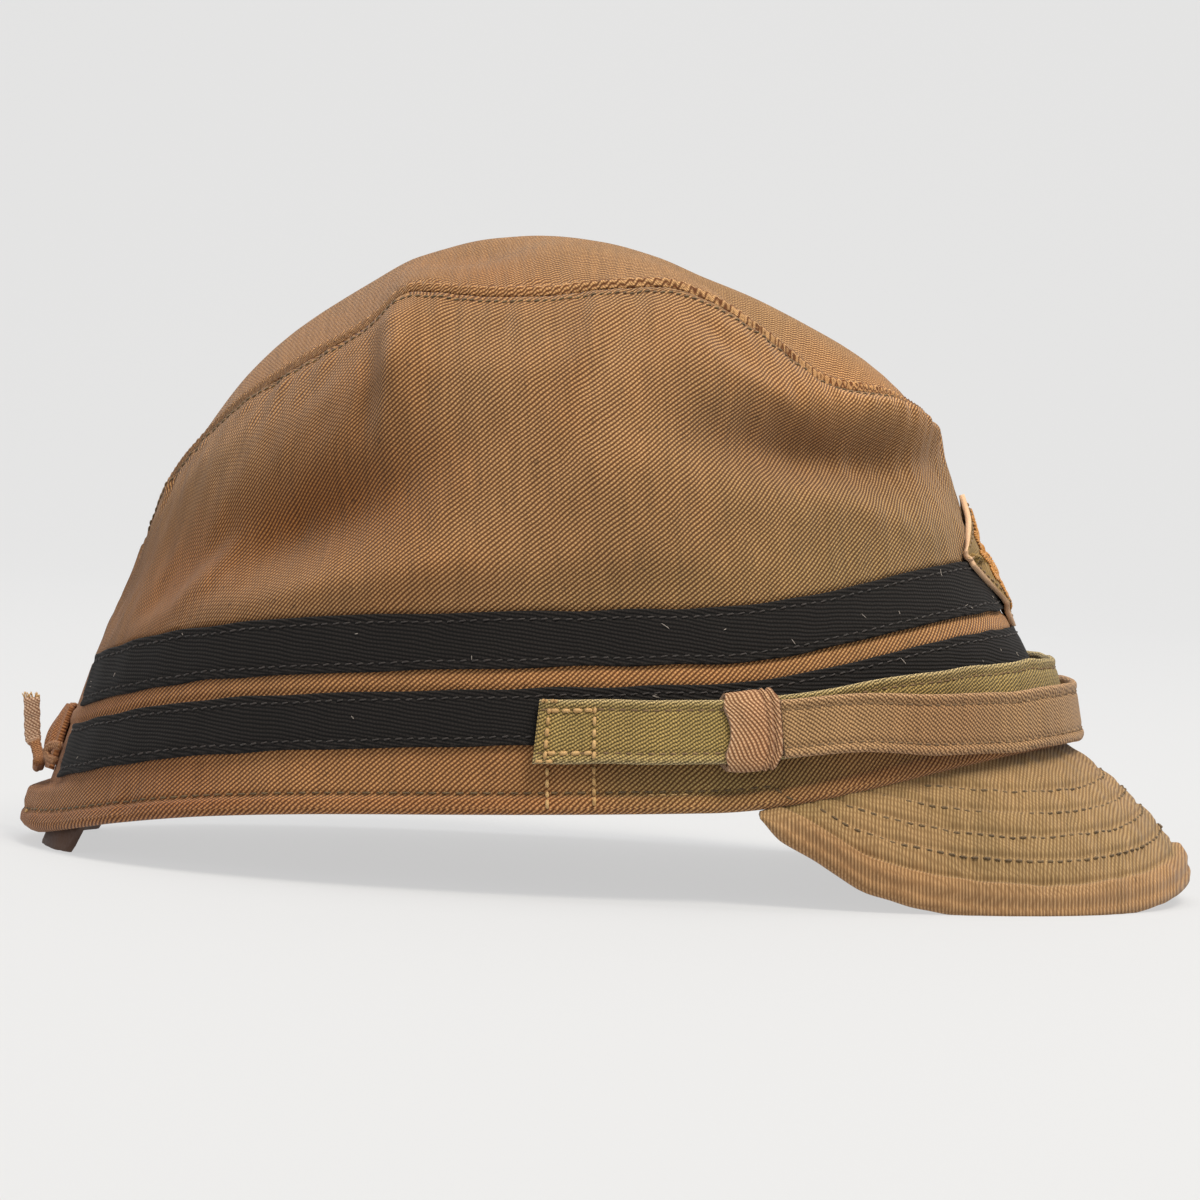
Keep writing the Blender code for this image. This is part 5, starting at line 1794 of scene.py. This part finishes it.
@dataclass
class RearTie:
    """What draws the band in at the rear: bunched cloth, a short tie with a frayed end and a small loop."""

    shape: CapShape
    gusset_above_hem: float = 0.0021
    gusset_height: float = 0.0140
    half_angle: float = math.radians(9.0)
    narrowing: float = 0.45
    proud: float = 0.0026
    ripple_share: float = 0.3
    wall: float = 0.0012
    tie_thick: float = 0.0024
    loop_thick: float = 0.0019

    @property
    def low(self) -> float:
        """The height of the bunched cloth's lower edge."""
        return self.shape.rear_hem_height + self.gusset_above_hem

    def gusset_off(self, share: Array, across: Array) -> Array:
        """How far the inside of the bunched cloth stands off the band."""
        proud = np.sin(math.pi * (0.12 + 0.76 * share)) * (1 - across**2)
        folds = 1 - self.ripple_share + self.ripple_share * np.cos(3 * math.pi * across)
        return self.shape.gap + self.proud * proud * folds

    def gusset_surface(self, across: Array, share: Array) -> Array:
        """Points on the outside of the bunched cloth."""
        angle = math.pi + across * self.half_angle * (1 - self.narrowing * share)
        height = self.low + self.gusset_height * share
        pleats = 0.00045 * np.cos(math.tau * (2.6 * across + 0.6 * share))
        pleats = pleats * np.sin(math.pi * share) * (1 - across**2)
        return self.shape.band_point(angle, height, self.gusset_off(share, across) + self.wall + pleats)

    def cord_points(self, route: Table, thickness: float) -> Array:
        """The points of a cord's middle line, read from a smooth curve through its route."""
        from_rear = np.radians([row["round"] for row in route])
        height = self.shape.band_height_side * np.array([row["height"] for row in route])
        lift = np.array([row["lift"] for row in route])
        share = np.clip((height - self.low) / self.gusset_height, 0.0, 1.0)
        across = from_rear / (self.half_angle * (1 - self.narrowing * share))
        swell = self.shape.rear_swell(math.pi - from_rear, height)
        on_gusset = np.maximum(self.gusset_off(share, across) + self.wall, swell)
        base = np.where(np.abs(across) > 1, swell, on_gusset)
        points = self.shape.band_point(math.pi - from_rear, height, base + self.shape.gap + thickness * lift)
        knots = [{"at": i, "x": p[0], "y": p[1], "z": p[2]} for i, p in enumerate(points)]
        at = np.linspace(0, len(points) - 1, 12 * (len(points) - 1) + 1)
        return np.stack([read_curve(knots, "at", axis, at) for axis in ("x", "y", "z")], axis=-1)

    def ribbon(
        self, bench: Bench, name: str, path: Array, wide: Array, thick: Array, pale: Array, node: str
    ) -> None:
        """Makes a folded strip of cloth along a path.

        Args:
            bench: Where the piece is made.
            name: The piece's name.
            path: The points of its middle line, in the cap's frame.
            wide: Its width at each point.
            thick: Its thickness at each point.
            pale: How pale and worn it is at each point.
            node: The CAD node that it stands for.
        """
        tangent = unit(np.gradient(path, axis=0))
        across = np.zeros_like(path)
        across[0] = unit(np.cross(tangent[0], np.array([0.0, 1.0, 0.0])))
        for i in range(1, len(path)):
            carried = across[i - 1] - tangent[i] * np.dot(across[i - 1], tangent[i])
            across[i] = unit(carried)
        over = np.cross(across, tangent)

        def place(column: Array, turn: Array) -> Array:
            at = column.astype(int)
            crease = 1 - 0.22 * bell(turn % 0.5 - 0.25, 0.05)
            uneven = 1 + 0.05 * np.sin(column * 1.7)
            reach = lay(across[at], wide[at] / 2 * np.cos(math.tau * turn) * uneven)
            return path[at] + reach + lay(over[at], thick[at] / 2 * np.sin(math.tau * turn) * crease)

        def tint(column: Array, turn: Array, point: Array) -> Array:
            tone = np.zeros((*column.shape, 3))
            tone[..., 2] = pale[column.astype(int)]
            tone[..., 0] = 0.15 * ripple(column * 0.001, turn * 0.006, 0.004, 141)
            return tone

        work = grid_mesh(np.arange(len(path)), np.linspace(0.0, 1.0, 25), place, tint, False, True)
        cap_ends(work)
        bench.piece(name, work, [TIE_CLOTH], "tie_cloth", node)

    def build(self, bench: Bench) -> None:
        """Makes the bunched cloth, the tie and the loop."""

        def tint(across: Array, share: Array, point: Array) -> Array:
            tone = self.shape.tone(point)
            tone[..., 1] += 0.2
            tone[..., 0] += 0.12 - 0.25 * np.exp(-share / 0.2)
            return tone

        across, share = np.linspace(-1, 1, 61), np.linspace(0, 1, 41)
        work = grid_mesh(across, share, self.gusset_surface, tint, centre_column=30)
        gusset = bench.piece("rear_gusset_cloth", work, [TIE_CLOTH], "crown_twill", "rear_gusset")
        give_wall(gusset, self.wall)
        path = self.cord_points(TIE_ROUTE, self.tie_thick)
        share = np.linspace(0.0, 1.0, len(path))
        end = smooth_step((0.36 - share) / 0.08)
        wide = 0.0024 + 0.0011 * end
        thick = 0.0022 - 0.0010 * end
        self.ribbon(bench, "rear_tie_strip", path, wide, thick, 0.9 * end, "rear_tie")
        path_loop = self.cord_points(LOOP_ROUTE, self.loop_thick)
        flat = np.ones(len(path_loop))
        wide, thick, pale = 0.0018 * flat, 0.0015 * flat, 0.1 * flat
        self.ribbon(bench, "rear_loop_strip", path_loop, wide, thick, pale, "rear_loop")
        self.fray(bench, path[0])

    def fray(self, bench: Bench, tip: Array) -> None:
        """Makes the loose threads at the tie's raw end."""
        work = bmesh.new()
        rng = np.random.default_rng(15)
        for k in range(16):
            side = -1 + 2 * k / 15
            root = tip + np.array([side * 0.0016, rng.uniform(-0.0003, 0.0003), -0.0004])
            lean_x = side * 0.0004 + rng.uniform(-0.0005, 0.0005)
            lean = np.array([lean_x, rng.uniform(-0.0004, 0.0004), 0.0014])
            part = np.linspace(0.0, 1.0, 6)[:, None]
            sway = np.array([rng.uniform(-0.0005, 0.0005), 0.0, 0.0])
            path_end = root + lean * part * rng.uniform(0.6, 1.3) + sway * part**2
            add_thread(work, to_row(path_end), 0.00014, 4)
        finish_threads(work)
        bench.piece("rear_tie_fray", work, [PALE_THREAD], "tie_cloth")


@dataclass
class InnerBand:
    """The leather band inside, whose worn edge hangs below the hem at the rear."""

    shape: CapShape
    top: float = 0.0300
    wall: float = 0.0012
    set_up: float = 0.0010
    droop: float = 0.0042
    droop_centre: float = 0.0010
    droop_angle: float = math.radians(23.0)
    droop_fade: float = math.radians(3.0)
    columns: int = 480

    def lowest(self, angle: Array) -> Array:
        """The height of the lower edge."""
        from_rear = math.pi - np.abs(angle)
        share = np.minimum(from_rear / self.droop_angle, 1.0)
        droop = self.droop_centre + (self.droop - self.droop_centre) * share
        behind = smooth_step((self.droop_angle + self.droop_fade - from_rear) / self.droop_fade)
        worn = 0.00025 * ripple(angle * 0.1, np.zeros_like(angle), 0.006, 151) * behind
        return self.set_up - (self.set_up + droop + worn) * behind

    def build(self, bench: Bench) -> None:
        """Makes the leather band."""
        shape = self.shape
        up, depth = wall_section(np.linspace(0.0, 1.0, 22), self.wall, 8, 4)
        up = np.clip(up, 0.0, 1.0)
        out = -(shape.band_wall + shape.gap)

        def place(angle: Array, row: Array) -> Array:
            at = row.astype(int)
            lowest = self.lowest(angle)
            height = lowest + (self.top - lowest) * up[at]
            cockle = 0.0002 * ripple(angle * 0.1, height, 0.012, 152)
            return shape.band_point(angle, height, out - depth[at] - np.abs(cockle))

        def tint(angle: Array, row: Array, point: Array) -> Array:
            return np.zeros((*angle.shape, 3))

        columns = np.linspace(-math.pi, math.pi, self.columns + 1)
        work = grid_mesh(columns, np.arange(len(up)), place, tint, True, True)
        bmesh.ops.recalc_face_normals(work, faces=work.faces)
        bench.piece("sweatband_leather", work, [DARK_LEATHER], "sweat_leather", "sweatband")


@dataclass
class Lint:
    """Short pale fibres that cling to the black tapes."""

    shape: CapShape
    tapes: Sequence[Tape]
    count: int = 70

    def build(self, bench: Bench) -> None:
        """Scatters the fibres over both tapes."""
        rng = np.random.default_rng(17)
        work = bmesh.new()
        for _ in range(self.count):
            tape = self.tapes[int(rng.integers(len(self.tapes)))]
            angle = rng.uniform(-tape.end, tape.end) * np.ones(6)
            up = rng.uniform(0.1, 0.9) * self.shape.tape_width
            turn = rng.uniform(0.0, math.tau)
            length = rng.uniform(0.0006, 0.0022)
            part = np.linspace(-0.5, 0.5, 6)
            bend = rng.uniform(-0.0008, 0.0008)
            aside = length * part * math.cos(turn) + bend * part**2
            above = np.clip(up + length * part * math.sin(turn), 0.0005, self.shape.tape_width - 0.0005)
            on = tape.outside(angle + aside / 0.1, above)
            normal = self.shape.band_axes(angle)[1]
            add_thread(work, to_row(on + lay(normal, 0.00012 + 0.0002 * (0.25 - part**2))), 0.00007, 4)
        finish_threads(work)
        bench.piece("tape_lint", work, [LINT], "black_tape")


@dataclass
class Studio:
    """A plain pale sweep, soft light from above and the camera of the photograph."""

    eye: Vector = field(default_factory=lambda: Vector((0.0128, -1.05, 0.084)))
    aim: Vector = field(default_factory=lambda: Vector((0.0128, 0.0, 0.0397)))
    lens: float = 148.0
    sensor: float = 36.0
    sweep_colour: str = "#6C6C6C"
    sweep_glow: float = 0.56
    sweep_near: float = -3.0
    sweep_far: float = 1.2
    sweep_radius: float = 0.8
    sweep_height: float = 2.6
    sweep_width: float = 9.0
    air_colour: str = "#F2F3F5"
    air_strength: float = 0.40

    def camera(self) -> None:
        """Makes the camera, which leans with the cap as the photograph shows it."""
        data = bpy.data.cameras.new("photo_camera")
        data.lens = self.lens
        data.sensor_width = self.sensor
        made = bpy.data.objects.new("photo_camera", data)
        bpy.context.scene.collection.objects.link(made)
        ahead = (self.aim - self.eye).normalized()
        right = ahead.cross(Vector((0.0, 0.0, 1.0))).normalized()
        matrix = Matrix((right, right.cross(ahead), -ahead)).transposed().to_4x4()
        matrix.translation = self.eye
        made.matrix_world = CAP_MATRIX @ matrix
        bpy.context.scene.camera = made

    def sweep(self) -> None:
        """Makes the floor, which curves up into the backdrop and glows so that both look equally pale."""
        bends = np.linspace(0.0, math.pi / 2, 17)
        bend_y = self.sweep_far + self.sweep_radius * np.sin(bends)
        bend_z = self.sweep_radius * (1 - np.cos(bends))
        ys = np.concatenate([[self.sweep_near], bend_y, bend_y[-1:]])
        zs = np.concatenate([[0.0], bend_z, [self.sweep_height]])
        work = bmesh.new()
        bmesh.ops.create_grid(work, x_segments=2, y_segments=len(ys) - 1, size=0.5)
        for vert in work.verts:
            row = round((vert.co.y + 0.5) * (len(ys) - 1))
            vert.co = Vector((vert.co.x * self.sweep_width, ys[row], zs[row]))
        mesh = bpy.data.meshes.new("studio_sweep")
        work.to_mesh(mesh)
        work.free()
        mesh.shade_smooth()
        # Matt seamless paper: it takes a soft shadow and shows no shine.
        material, tree, shader = new_material("matt_paper_sweep")
        fill_inputs(tree, shader, {
            "Base Color": linear(self.sweep_colour),
            "Emission Color": linear("#FFFFFF"),
            "Emission Strength": self.sweep_glow,
            "Roughness": 0.95,
        })
        mesh.materials.append(material)
        made = bpy.data.objects.new("studio_sweep", mesh)
        bpy.context.scene.collection.objects.link(made)

    def lamp(
        self, name: str, place: Sequence[float], aim: Sequence[float], size: float, power: float, colour: str
    ) -> None:
        """Makes one soft square light that faces the aim."""
        data = bpy.data.lights.new(name, "AREA")
        data.shape = "SQUARE"
        data.size = size
        data.energy = power
        data.color = linear(colour)[:3]
        made = bpy.data.objects.new(name, data)
        made.location = place
        towards = Vector(aim) - Vector(place)
        made.rotation_euler = towards.to_track_quat("-Z", "Y").to_euler()
        bpy.context.scene.collection.objects.link(made)

    def build(self) -> None:
        """Makes the camera, the sweep and the lights."""
        self.camera()
        self.sweep()
        centre = (0.0, 0.0, 0.05)
        self.lamp("key_softbox", (0.60, -0.72, 1.70), centre, 0.8, 38.0, "#FFF9EE")
        self.lamp("fill_softbox", (-1.3, -1.2, 0.6), centre, 1.2, 6.0, "#F6F8FF")
        self.lamp("backdrop_lamp", (0.0, 0.55, 2.3), (0.0, 2.0, 0.5), 1.6, 34.0, "#FFFFFF")
        world = bpy.data.worlds.new("studio_air")
        world.use_nodes = True
        background = world.node_tree.nodes["Background"]
        background.inputs["Color"].default_value = linear(self.air_colour)
        background.inputs["Strength"].default_value = self.air_strength
        bpy.context.scene.world = world
        bpy.context.scene.view_settings.view_transform = "Standard"


def main() -> None:
    """Builds every sub-assembly in order."""
    logging.basicConfig(level=logging.INFO, format="%(name)s %(message)s")
    shape = CapShape()
    bench = Bench()
    band = Band(shape)
    tapes = [Tape(shape, "tape_upper", True), Tape(shape, "tape_lower", False)]
    green = StrapHalf(
        shape, "strap_green", GREEN_ROUTE, 0.0129, GREEN_CLOTH, "green_cloth", TAN_THREAD, end_slant=1.0
    )
    tan = StrapHalf(shape, "strap_tan", TAN_ROUTE, 0.0118, TAN_CLOTH, "tan_cloth", TAN_THREAD)
    Crown(shape).build(bench)
    band.build(bench)
    for tape in tapes:
        tape.build(bench)
    Peak(shape).build(bench)
    green.build(bench)
    tan.build(bench)
    Anchor(shape, green, band, Side.RIGHT).build(bench)
    Anchor(shape, tan, band, Side.LEFT).build(bench)
    Keeper(shape, "keeper_tan", Side.RIGHT, GREEN_ROUTE, green.width, KEEPER_CLOTH, "tan_cloth").build(bench)
    Keeper(shape, "keeper_green", Side.LEFT, TAN_ROUTE, tan.width, GREEN_CLOTH, "green_cloth").build(bench)
    Patch(shape).build(bench)
    RearTie(shape).build(bench)
    InnerBand(shape).build(bench)
    Lint(shape, tapes).build(bench)
    Studio().build()


if __name__ == "__main__":
    main()
